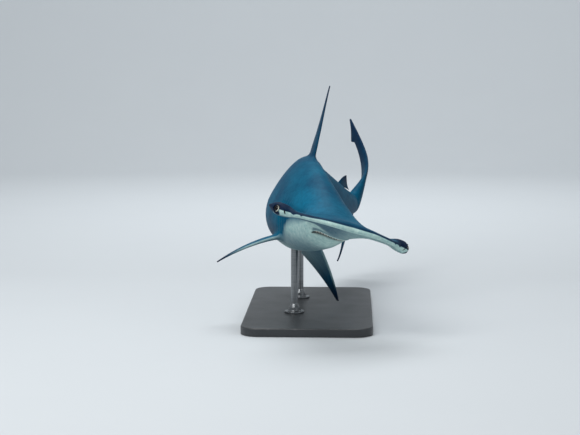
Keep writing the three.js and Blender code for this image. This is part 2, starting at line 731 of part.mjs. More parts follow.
const hide = finish(0x47707f, 0.5);
const finHide = finish(0x35596b, 0.52);
const tailHide = finish(0x3b6273, 0.52);
const eyeGloss = finish(0x14191c, 0.12);
const paintedBase = finish(0x2b2e31, 0.55);
const steel = finish(0x9a9da0, 0.35, 0.9);

const shark = new THREE.Group();
shark.rotation.set(rad(pose.pitch), rad(pose.bank), rad(pose.yaw), 'ZXY');
shark.position.set(pose.snout[0], pose.snout[1], pose.snout[2]);
shark.updateMatrixWorld(true);

function addNode(group, name, geometry, material) {
  const mesh = new THREE.Mesh(geometry, material);
  mesh.name = name;
  group.add(mesh);
}

addNode(shark, 'head', geometryOf(headSolid), hide);
addNode(shark, 'trunk', geometryOf(trunkSolid), hide);
addNode(shark, 'tail_stalk', geometryOf(bodySolid(stalkStations)), hide);
addNode(shark, 'caudal_fin_upper', geometryOf(tailLobes[0]), tailHide);
addNode(shark, 'caudal_fin_lower', geometryOf(tailLobes[1]), tailHide);
for (const [name, size] of Object.entries(ridgeFins)) {
  addNode(shark, name, geometryOf(ridgeFin(size)), finHide);
}
for (const [name, side] of [['left', 1], ['right', -1]]) {
  const pectoralFin = pairedFin({ ...pectoral, ...pectoralSet[name], side });
  const pelvicFin = pairedFin({ ...pelvic, side });
  addNode(shark, `eye_${name}`, weld(eyeGeometry(side)), eyeGloss);
  addNode(shark, `pectoral_fin_${name}`, geometryOf(pectoralFin), finHide);
  addNode(shark, `pelvic_fin_${name}`, geometryOf(pelvicFin), finHide);
}

// Stand

function standBase() {
  const outline = new THREE.Shape();
  const [x, y, r] = [base.wide / 2 - base.edge, base.long / 2 - base.edge, base.corner];
  outline.moveTo(-x + r, -y);
  outline.lineTo(x - r, -y);
  outline.absarc(x - r, -y + r, r, -Math.PI / 2, 0);
  outline.lineTo(x, y - r);
  outline.absarc(x - r, y - r, r, 0, Math.PI / 2);
  outline.lineTo(-x + r, y);
  outline.absarc(-x + r, y - r, r, Math.PI / 2, Math.PI);
  outline.lineTo(-x, -y + r);
  outline.absarc(-x + r, -y + r, r, Math.PI, 1.5 * Math.PI);
  const slab = new THREE.ExtrudeGeometry(outline, {
    depth: base.thick - 2 * base.edge,
    bevelThickness: base.edge,
    bevelSize: base.edge,
    bevelSegments: 2,
    curveSegments: 8,
  });
  slab.translate(0, 0, base.edge);
  return slab;
}

// Rod from the base up to the lowest point of the body at a station, cut to the belly
function standRod(station) {
  const low = bodyRing(station).map((p) => shark.localToWorld(p)).sort((a, b) => a.z - b.z)[0];
  const foot = base.thick + seam;
  const top = low.z + rod.sink;
  const profile = [
    [0, foot], [rod.footRadius, foot], [rod.footRadius, foot + rod.flange],
    [rod.collar + 2, foot + rod.flange], [rod.collar, foot + rod.footHeight],
    [rod.radius, foot + rod.neckHeight], [rod.radius, top], [0, top],
  ];
  const turned = new THREE.LatheGeometry(profile.map(([r, z]) => new THREE.Vector2(r, z)), 24);
  turned.rotateX(Math.PI / 2);
  turned.translate(low.x, low.y, 0);
  const belly = grownBody.transform(shark.matrixWorld.toArray());
  return geometryOf(solidOf(outward(weld(turned))).subtract(belly));
}

const model = new THREE.Group();
model.add(shark);
addNode(model, 'stand_base', weld(standBase()), paintedBase);
addNode(model, 'stand_rod_front', standRod(rodStations.front), steel);
addNode(model, 'stand_rod_rear', standRod(rodStations.rear), steel);

export default model;
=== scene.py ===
import bpy
import numpy as np
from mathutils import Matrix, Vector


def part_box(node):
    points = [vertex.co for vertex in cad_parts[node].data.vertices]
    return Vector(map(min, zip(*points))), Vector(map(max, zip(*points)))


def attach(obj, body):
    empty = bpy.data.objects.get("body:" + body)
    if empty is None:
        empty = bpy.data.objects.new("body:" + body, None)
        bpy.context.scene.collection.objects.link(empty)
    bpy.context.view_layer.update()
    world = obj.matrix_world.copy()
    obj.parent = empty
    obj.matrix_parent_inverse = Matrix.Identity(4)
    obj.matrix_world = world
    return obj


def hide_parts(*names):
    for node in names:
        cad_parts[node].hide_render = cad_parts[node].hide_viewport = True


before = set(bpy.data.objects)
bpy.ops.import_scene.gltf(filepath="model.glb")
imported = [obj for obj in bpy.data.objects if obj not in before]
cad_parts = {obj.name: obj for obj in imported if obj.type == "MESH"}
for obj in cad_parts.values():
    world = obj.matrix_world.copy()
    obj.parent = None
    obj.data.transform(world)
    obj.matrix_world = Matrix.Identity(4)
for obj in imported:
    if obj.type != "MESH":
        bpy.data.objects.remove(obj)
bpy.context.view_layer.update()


# Body form
# A cast like this is laid up in glass fibre over a carved form. Its back, belly and flanks are
# three fair lines along one spine, and the head opens out of the neck into the flat hammer.
total_length = 2.400
parting = {"neck": 0.300, "caudal": 1.764}
spine_bend = [
    (0, 0), (0.384, 0), (0.672, 9.2), (0.960, 23.4), (1.248, 44), (1.536, 44), (1.824, 36.4),
    (2.112, -7.2), (2.400, -4.0),
]
tail_droop = {"from": 0.480, "drop": 0.027}
back_line = [
    (0, 0.017), (0.072, 0.030), (0.144, 0.050), (0.240, 0.082), (0.300, 0.103), (0.456, 0.156),
    (0.624, 0.199), (0.768, 0.216), (0.960, 0.209), (1.200, 0.169), (1.440, 0.122), (1.632, 0.086),
    (1.764, 0.070),
]
belly_line = [
    (0, 0.012), (0.036, 0.017), (0.072, 0.031), (0.144, 0.054), (0.240, 0.103), (0.300, 0.125),
    (0.456, 0.166), (0.624, 0.189), (0.768, 0.191), (0.960, 0.174), (1.200, 0.138), (1.440, 0.089),
    (1.632, 0.052), (1.764, 0.031),
]
side_line = [
    (0.300, 0.107), (0.456, 0.121), (0.624, 0.127), (0.768, 0.127), (0.960, 0.124), (1.200, 0.109),
    (1.440, 0.084), (1.632, 0.060), (1.764, 0.043),
]
widest_line = [
    (0, 0), (0.300, 0), (0.456, -0.018), (0.624, -0.030), (0.768, -0.035), (0.960, -0.032),
    (1.200, -0.022), (1.440, -0.008), (1.764, 0),
]
ridge_line = [
    (0, 1.1), (0.300, 1.15), (0.456, 1.4), (0.624, 1.62), (0.960, 1.6), (1.200, 1.4), (1.440, 1.2),
    (1.764, 1.1),
]
belly_flat = 0.86


def fair_curve(knots):
    """Curve through (x, y) knots that never overshoots them.

    Between two knots it is a cubic, and its slope at a knot is the harmonic mean of the two
    secants that meet there, or level where the secants disagree in sign.
    """
    x, y = np.array(knots, dtype=float).T
    secant = np.diff(y) / np.diff(x)
    before, after = secant[:-1], secant[1:]
    total = np.where(before * after > 0, before + after, 1)
    inner = np.where(before * after > 0, 2 * before * after / total, 0)
    slope = np.concatenate([secant[:1], inner, secant[-1:]])

    def curve(at):
        at = np.asarray(at, dtype=float)
        i = np.clip(np.searchsorted(x, at) - 1, 0, len(x) - 2)
        span = x[i + 1] - x[i]
        u = np.clip((at - x[i]) / span, 0, 1)
        rise = (y[i + 1] - y[i]) * u * u * (3 - 2 * u)
        return y[i] + rise + span * (slope[i] * u * (1 - u) ** 2 - slope[i + 1] * u * u * (1 - u))

    return curve


back_height, belly_depth, side_width, widest_level, ridge_power, heading = (
    fair_curve(line)
    for line in (back_line, belly_line, side_line, widest_line, ridge_line, spine_bend)
)


def mix(a, b, share):
    """Straight blend from a to b."""
    return a + (b - a) * share


def ease(x, start, end):
    """0 before start, 1 past end, and a cubic S between."""
    u = np.clip((x - start) / (end - start), 0, 1)
    return u * u * (3 - 2 * u)


def fade(x, start, end):
    """1 before start, 0 past end, and a cubic S between."""
    return 1 - ease(x, start, end)


def bell(x, middle, wide):
    """Bell curve, 1 at its middle and 0.37 at the given distance from it."""
    return np.exp(-(((x - middle) / wide) ** 2))


def round_off(distance, radius):
    """Height of a quarter circle: 0 at an edge, 1 from the given distance inwards."""
    return np.sqrt(1 - (1 - np.clip(distance / radius, 0, 1)) ** 2)


def section_up(s, rise):
    """Height of the skin at a station, where rise is the sine of the angle round the section.

    The back rises with a power of the sine above 1, so it comes to a ridge, and the belly with
    one below 1, so it is flatter than an ellipse.
    """
    level = widest_level(s)
    steep = np.abs(rise)
    over = level + (back_height(s) - level) * steep ** ridge_power(s)
    under = level - (belly_depth(s) + level) * steep ** belly_flat
    return np.where(rise >= 0, over, under)


hammer_half, neck_half = 0.311, 0.107
front_arch = {"rise": 0.083, "power": 2.2}
front_notches = [(0, 0.009, 0.022), (0.142, 0.006, 0.020), (0.256, 0.007, 0.011)]
rear_margin = fair_curve([
    (0.107, 0.300), (0.118, 0.248), (0.139, 0.213), (0.173, 0.191), (0.216, 0.178), (0.259, 0.168),
    (0.295, 0.192),
])
rim = {"rear_share": 0.7, "bunched": 1.5, "pull": 3.5}
tip = {"start": 0.295, "front_half": 0.037, "rear_half": 0.072, "square": 0.42}
blade = {"nose": 0.040, "tail": 0.065, "end": 0.030, "opens": 0.35}
bulb = {"along": 0.048, "across": 0.048, "back": 0.118, "out": 0.280}
crease = {"back": 0.025, "wide": 0.009, "opens": (0.3, 0.6), "ends": (0.19, 0.25)}
wing_flex = {
    "span": 0.300, "twist": -0.0095, "droop": -0.0035, "brow": 0.014, "brow_back": (0.02, 0.14),
    "opens": 0.3,
}


def front_edge(out):
    """Front edge of the hammer: a power arch with three bell-shaped notches."""
    edge = front_arch["rise"] * (out / tip["start"]) ** front_arch["power"]
    for at, deep, wide in front_notches:
        edge = edge + deep * bell(out, at, wide)
    return edge


tip_middle = front_edge(tip["start"]) + tip["front_half"]


def tip_edges(out):
    """Front and rear edge of the hammer's end: a round front corner and a squarer rear one."""
    u = np.clip((out - tip["start"]) / (hammer_half - tip["start"]), 0, 1)
    front = tip_middle - tip["front_half"] * np.sqrt(1 - u * u)
    return front, tip_middle + tip["rear_half"] * np.sqrt(1 - u ** (2 / tip["square"]))


def hammer_rim(q):
    """Rim of the hammer from the neck (q = 0) out along its rear edge and round its end (q = 1)."""
    share = rim["rear_share"]
    out = mix(neck_half, tip["start"], (np.minimum(q, share) / share) ** rim["bunched"])
    turn = np.pi * np.maximum(q - share, 0) / (1 - share)
    rear = turn < np.pi / 2
    end_back = tip_middle + np.where(rear, tip["rear_half"], tip["front_half"]) * np.cos(turn)
    swing = np.abs(np.sin(turn)) ** np.where(rear, tip["square"], 1)
    end_out = mix(tip["start"], hammer_half, swing)
    return np.where(q < share, rear_margin(out), end_back), np.where(q < share, out, end_out)


def head_plan(q, eta):
    """Plan of the head, q from the neck to the front edge and eta from side to side.

    Straight lines join the neck section to the front edge, and their ends are pulled out on to
    the rim of the hammer by a high power of eta.
    """
    side = np.abs(eta)
    front_out = side * tip["start"]
    line_back = mix(parting["neck"], front_edge(front_out), q)
    line_out = mix(side * neck_half, front_out, q)
    rim_back, rim_out = hammer_rim(q)
    pull = side ** rim["pull"]
    back = line_back + pull * (rim_back - mix(parting["neck"], front_edge(tip["start"]), q))
    return back, line_out + pull * (rim_out - mix(neck_half, tip["start"], q))


def head_height(q, eta, back, out, half):
    """Height of one half of the head: the larger, softly, of the skull's dome and the blade.

    The dome falls away sideways with a power that grows towards the front, and the blade has a
    round nose, a long tail and a bell-shaped swelling round the eye. Below, a bell-shaped crease
    runs along behind the front edge. The larger is the fourth root of the sum of fourth powers.
    """
    side = np.minimum(1, np.abs(eta))
    end_front, end_rear = tip_edges(out)
    at_end = out > tip["start"]
    front = np.where(at_end, end_front, front_edge(out))
    rear = np.where(at_end, end_rear, np.where(out < neck_half, total_length, rear_margin(out)))
    nose = round_off(back - front, blade["nose"])
    fall = mix(0.5 * half["power"], half["narrow"], ease(q, *half["between"]))
    dome = half["line"](np.maximum(0, back)) * (1 - side * side) ** fall * nose
    from_bulb = ((back - bulb["back"]) / bulb["along"]) ** 2
    from_bulb = from_bulb + ((out - bulb["out"]) / bulb["across"]) ** 4
    wing = (half["blade"] + half["bulb"] * np.exp(-from_bulb)) * nose
    wing = wing * round_off(rear - back, blade["tail"])
    wing = wing * round_off(hammer_half - out, blade["end"]) * ease(q, 0, blade["opens"])
    dent = bell(back - front, crease["back"], crease["wide"]) * ease(q, *crease["opens"])
    return (dome ** 4 + wing ** 4) ** 0.25 - half["crease"] * dent * fade(out, *crease["ends"])


head_over = {
    "line": back_height, "power": ridge_power(parting["neck"]), "narrow": 2, "between": (0, 0.55),
    "blade": 0.014, "bulb": 0.015, "crease": 0,
}
head_under = {
    "line": belly_depth, "power": belly_flat, "narrow": 5, "between": (0, 0.60),
    "blade": 0.013, "bulb": 0.011, "crease": 0.003,
}


def wing_lift(side, back):
    """How far the hammer is flexed: a cubic twist and a quartic droop towards its tips.

    The middle of its front edge is turned up a little as well.
    """
    u = side / wing_flex["span"]
    brow = wing_flex["brow"] * fade(back, *wing_flex["brow_back"]) * (1 - np.minimum(1, u * u))
    return wing_flex["twist"] * u ** 3 + wing_flex["droop"] * u ** 4 + brow


def head_points(q, angle):
    """Points of the head at q from the neck (0) to the front edge (1), round the section angle."""
    q, angle = np.broadcast_arrays(q, angle)
    eta, rise = np.cos(angle), np.sin(angle)
    back, out = head_plan(q, eta)
    over = head_height(q, eta, back, out, head_over)
    under = head_height(q, eta, back, out, head_under)
    up = np.where(rise > 0, over, -under) * (np.abs(rise) > 1e-6)
    side = np.sign(eta) * out
    return np.stack([side, back, up + wing_lift(side, back) * ease(q, 0, wing_flex["opens"])], -1)


caudal = {
    "tip": (2.335, 0.444), "back_bow": 0.028, "fork": (1.925, 0.008), "notch": (2.210, 0.326),
    "flap": (2.247, 0.325), "blunt": (0.003, -0.008), "thick": 0.018, "tip_thick": 0.005,
    "shares": (0, 0.26, 0.80, 0.86, 1), "rear_bows": (0, 0.038, -0.003, 0.005), "flat_by": 0.3,
}
fin_edge = 0.0007


def bowed(a, b, bow, t):
    """Point of the arc from a to b that bows sideways by the given distance at its middle."""
    a, b = np.array(a), np.array(b)
    along = b - a
    across = np.array([-along[1], along[0]]) / np.hypot(*along)
    t = np.asarray(t, dtype=float)[..., None]
    return a + along * t + across * (4 * bow * t * (1 - t))


def wing_section(u):
    """Half thickness of a wing along its chord, 1 at the thickest: the usual four-digit formula."""
    return 10 * (0.2969 * np.sqrt(u) - 0.126 * u - 0.3516 * u**2 + 0.2843 * u**3 - 0.1015 * u**4)


tail_top = (parting["caudal"], float(back_height(parting["caudal"])))
tail_under = (parting["caudal"], -float(belly_depth(parting["caudal"])))


def tail_rear(t):
    """Rear edge of the upper lobe: to the fork, up to the notch, out to the flap, up to the tip."""
    blunt_tip = tuple(np.add(caudal["tip"], caudal["blunt"]))
    ends = [tail_under, caudal["fork"], caudal["notch"], caudal["flap"], blunt_tip]
    shares = caudal["shares"]
    edge = bowed(ends[0], ends[1], caudal["rear_bows"][0], t / shares[1])
    for i in (1, 2, 3):
        u = (t - shares[i]) / (shares[i + 1] - shares[i])
        stretch = bowed(ends[i], ends[i + 1], caudal["rear_bows"][i], u)
        edge = np.where((t > shares[i])[..., None], stretch, edge)
    return edge


def tail_points(t, angle):
    """Upper lobe of the tail fin: the round section of the stalk flattens into a wing section.

    Both edges of the lobe keep a least thickness, which rounds off within an eighth of the chord.
    """
    t, angle = np.broadcast_arrays(t, angle)
    flat = ease(t, 0, caudal["flat_by"])
    rise, across = np.sin(angle), np.cos(angle)
    across = across * (np.abs(across) > 1e-6)
    top, under = tail_top[1], -tail_under[1]
    u = mix((top - section_up(parting["caudal"], rise)) / (top + under), 0.5 * (1 - rise), flat)
    u = np.clip(u, 0, 1)
    front, rear = bowed(tail_top, caudal["tip"], caudal["back_bow"], t), tail_rear(t)
    half = mix(caudal["tip_thick"], caudal["thick"], (1 - t) ** 2) * wing_section(u)
    half = half + fin_edge * np.minimum(1, 8 * u * (1.02 - u))
    side = mix(across * side_width(parting["caudal"]), np.sign(across) * half, flat)
    place = mix(front, rear, u[..., None])
    return np.stack([side, place[..., 0], place[..., 1]], -1)


def grid_faces(rows, sides):
    """Four-cornered faces between neighbouring rings of a closed tube of points."""
    r, j = np.meshgrid(np.arange(rows - 1), np.arange(sides), indexing="ij")
    a = r * sides + j
    b = r * sides + (j + 1) % sides
    return np.stack([a, b, b + sides, a + sides], -1).reshape(-1, 4)


def closed_tube(rings, sealed=False):
    """Vertices and faces of rings of points joined into a closed tube.

    Each end is a fan round a middle point. A sealed tube starts with a ring that lies flat on
    itself instead, whose points are merged in pairs across its own line.
    """
    count, sides = rings.shape[:2]
    points = rings.reshape(-1, 3)
    faces = grid_faces(count, sides)
    j = np.arange(sides)
    fans = []
    for row in (count - 1,) if sealed else (0, count - 1):
        points = np.concatenate([points, rings[row].mean(0)[None]])
        a, b = row * sides + j, row * sides + (j + 1) % sides
        hub = np.full(sides, len(points) - 1)
        fans += np.stack([a, b, hub] if row else [b, a, hub], -1).tolist()
    if sealed:
        pair = np.arange(len(points))
        pair[:sides] = np.minimum(j, (sides - j) % sides)
        faces = pair[faces]
    return points, faces.tolist() + fans


def form(name, points, faces):
    """Mesh object of the given points and faces, turned outwards if its volume is negative."""
    mesh = bpy.data.meshes.new(name)
    mesh.from_pydata(points, [], faces)
    mesh.validate()
    mesh.update()
    piece = bpy.data.objects.new(name, mesh)
    bpy.context.scene.collection.objects.link(piece)
    mesh.calc_loop_triangles()
    corner = np.zeros(len(mesh.loop_triangles) * 3, dtype=np.int32)
    mesh.loop_triangles.foreach_get("vertices", corner)
    a, b, c = points[corner.reshape(-1, 3)].transpose(1, 0, 2)
    if np.einsum("ij,ij->", a, np.cross(b, c)) < 0:
        mesh.flip_normals()
    return piece


def drop_unused(points, faces):
    """The same faces on only the points that they use."""
    used = np.unique(np.concatenate([np.array(face) for face in faces]))
    place = np.full(len(points), -1)
    place[used] = np.arange(len(used))
    return points[used], [place[face].tolist() for face in faces]


# Gills
# Five slits stand in a row on each side ahead of the pectoral fin. The skin in front of a slit
# is a soft flap that lies back over it, and the skin behind it comes up from the slit in a ramp.
gills = {
    "count": 5, "first": 0.432, "pitch": 0.025, "bow": 0.009, "top": 0.016, "bottom": -0.118,
    "before": 0.013, "bowed_from": 0.340, "bowed_to": 0.640,
}
gill_fold = np.array([
    (-13.0, -13.0, 0), (-9.5, -9.5, 1.0), (-6.0, -6.0, 2.1), (-3.4, -2.8, 3.1), (-1.6, -0.2, 3.6),
    (-0.4, 1.4, 3.2), (0.4, 1.7, 2.0), (1.0, 0.4, 0.6), (1.8, -2.4, -2.6), (2.8, -4.6, -6.2),
    (4.2, -2.6, -7.6), (6.0, 1.6, -6.2), (8.0, 5.6, -3.6), (10.2, 9.4, -1.2),
]) * 0.001


def full_turn(count):
    """Angles of so many equal steps round a full turn."""
    return np.arange(count) / count * 2 * np.pi


def graded(*stretches):
    """Stations along the body, given as (start, end, count) stretches that follow one another."""
    steps = [np.linspace(start, end, count, endpoint=False) for start, end, count in stretches]
    return np.concatenate(steps)[:, None]


columns, head_rows = 216, 100
column_angle = full_turn(columns)
from_front = np.cos(np.arange(head_rows) / head_rows * np.pi / 2)[:, None]
gill_start = gills["first"] - gills["before"]
gill_end = gill_start + gills["count"] * gills["pitch"]
gill_at = gills["first"] + gills["pitch"] * np.arange(gills["count"])
unfolded = np.array([1, 1, 0])
along_body = np.concatenate([
    graded((parting["neck"], gill_start, 26)) * unfolded,
    (gill_at[:, None, None] * unfolded + gill_fold).reshape(-1, 3),
    graded((gill_end, 0.700, 34), (0.700, parting["caudal"], 60)) * unfolded,
])
along_tail = graded((0, 0.30, 20), (0.30, 0.78, 16), (0.78, 0.88, 8), (0.88, 1.001, 9))


def gill_skin(rest, folded, off, angle):
    """Body rows that follow the bow of the slits, folded by a share that fades at their ends.

    That share is the square root of the sine along the slit's height, so it grows fast.
    """
    rise, across = np.sin(angle), np.cos(angle)
    down = (gills["top"] - section_up(rest, rise)) / (gills["top"] - gills["bottom"])
    near = ease(rest, gills["bowed_from"], gill_start) * fade(rest, gill_end, gills["bowed_to"])
    bow = gills["bow"] * np.minimum(1, (2 * down - 1) ** 2) * near
    fold = np.sqrt(np.sin(np.pi * np.clip(down, 0, 1)))
    s = mix(rest, folded, fold) + bow
    out, up = across * side_width(s), section_up(s, rise)
    return np.stack([out + across * off * fold, s, up + rise * off * fold], -1)


skin_grid = np.concatenate([
    head_points(from_front, column_angle),
    gill_skin(along_body[:, :1], along_body[:, 1:2], along_body[:, 2:], column_angle),
    tail_points(np.minimum(along_tail, 1), column_angle),
])
body_form = form("shark_skin", *drop_unused(*closed_tube(skin_grid, sealed=True)))


# Fins
# A shark's fins are stiff blades of cartilage and horny rays under the same hide, thick and
# rounded in front and thin behind, each with a free rear corner that stands clear of the body.
ridge_fins = {
    "first_dorsal_fin": {
        "origin": 0.720, "up": 1, "root": 0.236, "tall": 0.334, "sweep": 0.236, "corner": 0.108,
        "lift": 0.009, "tip_chord": 0.014, "front_bow": 0.026, "rear_bow": 0.062, "thick": 0.019,
        "tip_thick": 0.004, "lean": -0.013, "rows": 48,
    },
    "second_dorsal_fin": {
        "origin": 1.500, "up": 1, "root": 0.074, "tall": 0.060, "sweep": 0.072, "corner": 0.104,
        "lift": 0.007, "tip_chord": 0.008, "front_bow": 0.008, "rear_bow": 0.009, "thick": 0.011,
        "tip_thick": 0.003, "lean": 0, "rows": 28,
    },
    "anal_fin": {
        "origin": 1.452, "up": -1, "root": 0.128, "tall": 0.084, "sweep": 0.100, "corner": 0.066,
        "lift": 0.007, "tip_chord": 0.009, "front_bow": 0.009, "rear_bow": 0.026, "thick": 0.013,
        "tip_thick": 0.003, "lean": 0, "rows": 28,
    },
}
pectoral = {
    "origin": 0.509, "root_side": 0.096, "root_up": -0.140, "root": 0.150, "tall": 0.280,
    "sweep": 0.108, "corner": 0.074, "lift": 0.024, "tip_chord": 0.016, "front_bow": 0.020,
    "rear_bow": 0.022, "thick": 0.024, "tip_thick": 0.004, "rows": 52,
}
pelvic = {
    "origin": 1.140, "root_side": 0.052, "root_up": -0.128, "root": 0.118, "tall": 0.092,
    "sweep": 0.088, "corner": 0.058, "lift": 0.010, "tip_chord": 0.012, "front_bow": 0.007,
    "rear_bow": 0.012, "thick": 0.013, "tip_thick": 0.003, "rows": 30, "twist": 4, "arch": 0,
}
paired_fins = {
    "pectoral_fin_left": {**pectoral, "side": 1, "droop": 43.5, "twist": 16.8, "arch": 0},
    "pectoral_fin_right": {**pectoral, "side": -1, "droop": 39.2, "twist": 12, "arch": 0.20},
    "pelvic_fin_left": {**pelvic, "side": 1, "droop": 62},
    "pelvic_fin_right": {**pelvic, "side": -1, "droop": 62},
}
corner_share = 0.2
fin_fillet = {"reach": 0.026, "extra": 0.007}
root_sunk = {"ridge": 0.030, "paired": 0.040}
lobe = {
    "tip": (1.956, -0.298), "blunt": (0.007, 0.004), "sunk": 0.022, "front_bow": -0.022,
    "rear_bow": -0.026, "thick": 0.018, "tip_thick": 0.006, "rows": 40, "steps": 24,
}


def fin_outline(fin, t):
    """Front and rear edge of a fin from its root (t = 0) to its tip (t = 1), each (along, out).

    Both are bowed arcs. The rear one first runs out to the free rear corner.
    """
    corner = (fin["root"] + fin["corner"], fin["lift"])
    tip_corner = (fin["sweep"] + fin["tip_chord"], fin["tall"] - 0.4 * fin["tip_chord"])
    lead = bowed((0, 0), (fin["sweep"], fin["tall"]), fin["front_bow"], t)
    to_corner = bowed((fin["root"], 0), corner, 0.002, t / corner_share)
    to_tip = bowed(corner, tip_corner, fin["rear_bow"], (t - corner_share) / (1 - corner_share))
    return lead, np.where((t < corner_share)[..., None], to_corner, to_tip)


def round_chord(steps):
    """Places round a wing section: their share of the chord, and 1, -1 or 0 for their face.

    The share is half of 1 plus the cosine of a turn, so places crowd at both edges.
    """
    turn = np.arange(2 * steps) / steps * np.pi
    u = 0.5 * (1 + np.cos(turn))
    return u, np.where(u > 1 - 1e-9, 1, np.sign(np.sin(turn))) * (u > 1e-9)


def fin_blade(fin, sink):
    """Flat fin as rings of (along, out, side) points round its wing section, root ring first.

    The blade swells towards the body with a quarter-circle fillet, in front and on both faces.
    """
    t = np.concatenate([[0], np.linspace(0, 1, fin["rows"]) ** 1.25])
    t[np.argmin(np.abs(t - corner_share))] = corner_share
    t = t[:, None]
    front, rear = fin_outline(fin, t)
    u, face = round_chord(fin["rows"] // 2 + 2)
    place = mix(front, rear, u[:, None])
    along, out = place[..., 0], place[..., 1]
    out = out - sink * (np.arange(len(t)) == 0)[:, None]
    near = 1 - round_off(out, fin_fillet["reach"])
    attached = fade(along, fin["root"] * 0.85, fin["root"] * 1.05)
    half = mix(fin["thick"], fin["tip_thick"], t) / 2 * wing_section(u) + fin_edge * (u > 1e-9)
    half = half + fin_fillet["extra"] * near * attached * np.sqrt(np.minimum(1, u * 8))
    forward = fin_fillet["extra"] * near * (1 - u) ** 6
    return np.stack([along - forward, out, face * half], -1)


def ridge_fin(fin):
    """A fin that stands on the ridge of the back or the belly, leaning by the square of its height."""
    along, out, side = np.moveaxis(fin_blade(fin, root_sunk["ridge"]), -1, 0)
    s = fin["origin"] + along
    line = back_height if fin["up"] > 0 else belly_depth
    lean = fin["lean"] * (np.maximum(0, out) / fin["tall"]) ** 2
    return np.stack([side + lean, s, fin["up"] * (line(s) + out)], -1)


def paired_axes(fin):
    """Chord, span and face directions of a paired fin, as (side, back, up) rows."""
    droop, twist = np.radians(fin["droop"]), np.radians(fin["twist"])
    span = np.array([fin["side"] * np.cos(droop), 0, -np.sin(droop)])
    under = np.array([-fin["side"] * np.sin(droop), 0, -np.cos(droop)])
    chord = np.array([0, np.cos(twist), 0]) + np.sin(twist) * under
    return np.stack([chord, span, np.cross(span, chord) * fin["side"]])


def paired_root(fin):
    """Where the front of a paired fin's root stands on the lower flank."""
    return np.array([fin["side"] * fin["root_side"], fin["origin"], fin["root_up"]])


def paired_fin(fin):
    """A fin that stands out from the lower flank, drooping and with its front edge raised."""
    blade_points = fin_blade(fin, root_sunk["paired"])
    u = np.maximum(0, blade_points[..., 1]) / fin["tall"]
    arch = fin["arch"] * fin["tall"] * (u - u * u)
    return paired_root(fin) + (blade_points + np.stack([0 * u, 0 * u, arch], -1)) @ paired_axes(fin)


def lower_lobe():
    """Lower lobe of the tail fin, hung from the line between its origin and the fork."""
    rear_tip = tuple(np.add(lobe["tip"], lobe["blunt"]))
    t = np.concatenate([[0], np.linspace(0, 1, lobe["rows"])])[:, None]
    sunk = lobe["sunk"] * (np.arange(len(t)) == 0)[:, None]
    front = bowed(tail_under, lobe["tip"], lobe["front_bow"], t)
    rear = bowed(caudal["fork"], rear_tip, lobe["rear_bow"], t)
    u, face = round_chord(lobe["steps"])
    place = mix(front, rear, u[:, None])
    half = mix(lobe["thick"], lobe["tip_thick"], t) / 2 * wing_section(u) + fin_edge * (u > 1e-9)
    return np.stack([face * half, place[..., 0], place[..., 1] + sunk], -1)


def fuse(mark, shape, operation):
    """Joins a closed shape to the skin or cuts it away.

    The shape brings one plain material, the mark by which its faces are known afterwards.
    """
    tool = form(mark + "_tool", *shape)
    tool.data.materials.append(bpy.data.materials.get(mark) or bpy.data.materials.new(mark))
    change = body_form.modifiers.new(operation, "BOOLEAN")
    change.operation = operation
    change.solver = "MANIFOLD"
    change.object = tool
    change.material_mode = "TRANSFER"
    depsgraph = bpy.context.evaluated_depsgraph_get()
    made = bpy.data.meshes.new_from_object(body_form.evaluated_get(depsgraph))
    body_form.modifiers.clear()
    old = body_form.data
    body_form.data = made
    bpy.data.meshes.remove(old)
    bpy.data.objects.remove(tool)


body_form.data.materials.append(bpy.data.materials.new("body"))
fin_rings = {name: ridge_fin(fin) for name, fin in ridge_fins.items()}
fin_rings.update({name: paired_fin(fin) for name, fin in paired_fins.items()})
fin_rings["caudal_fin_lower"] = lower_lobe()
for name, rings in fin_rings.items():
    fuse(name, closed_tube(rings), "UNION")


# Mouth, lips and nostrils
# The mouth is a wide arc well back under the hammer, between two soft rolls of lip. The nostrils
# are slots in the front edge beside the eyes, and a groove leads from each towards the middle.
mouth = {
    "front": 0.137, "corner": 0.236, "half": 0.0735, "sweep": 0.75, "gape": 0.023, "deep": 0.026,
    "bow": 0.85, "closed": 0.07,
}
lip = {"upper": 0.0068, "lower": 0.0090, "sunk": 0.52, "set_out": 0.7}
nostril = {
    "out": 0.2745, "long": 0.018, "wide": 0.0048, "deep": 0.017, "turn": 24, "tilt": 62, "up": -0.002,
}
groove = {"from": 0.150, "to": 0.262, "half": 0.0022, "deep": 0.004, "up": 0.009}
low_skin = {"out": 0.16, "back": 0.29, "near": 0.006}

low_points = skin_grid[:head_rows, columns // 2:].reshape(-1, 3)
low_points = low_points[np.abs(low_points[:, 0]) < low_skin["out"]]
low_points = low_points[low_points[:, 1] < low_skin["back"]]


def underside(back, out):
    """Height of the head's underside at points of its plan.

    A tilted plane is fitted to the surface points round each one, with weights that fall off as
    a bell of 6 mm.
    """
    plan = np.stack([np.ravel(out), np.ravel(back)], -1)
    offset = low_points[None, :, :2] - plan[:, None]
    weight = np.exp(-(offset ** 2).sum(-1) / low_skin["near"] ** 2) + 1e-12
    terms = np.concatenate([np.ones(offset.shape[:2] + (1,)), offset], -1)
    square = np.einsum("nk,nki,nkj->nij", weight, terms, terms)
    right = np.einsum("nk,nki,k->ni", weight, terms, low_points[:, 2])
    return np.linalg.solve(square, right[..., None])[:, 0, 0].reshape(np.shape(back))


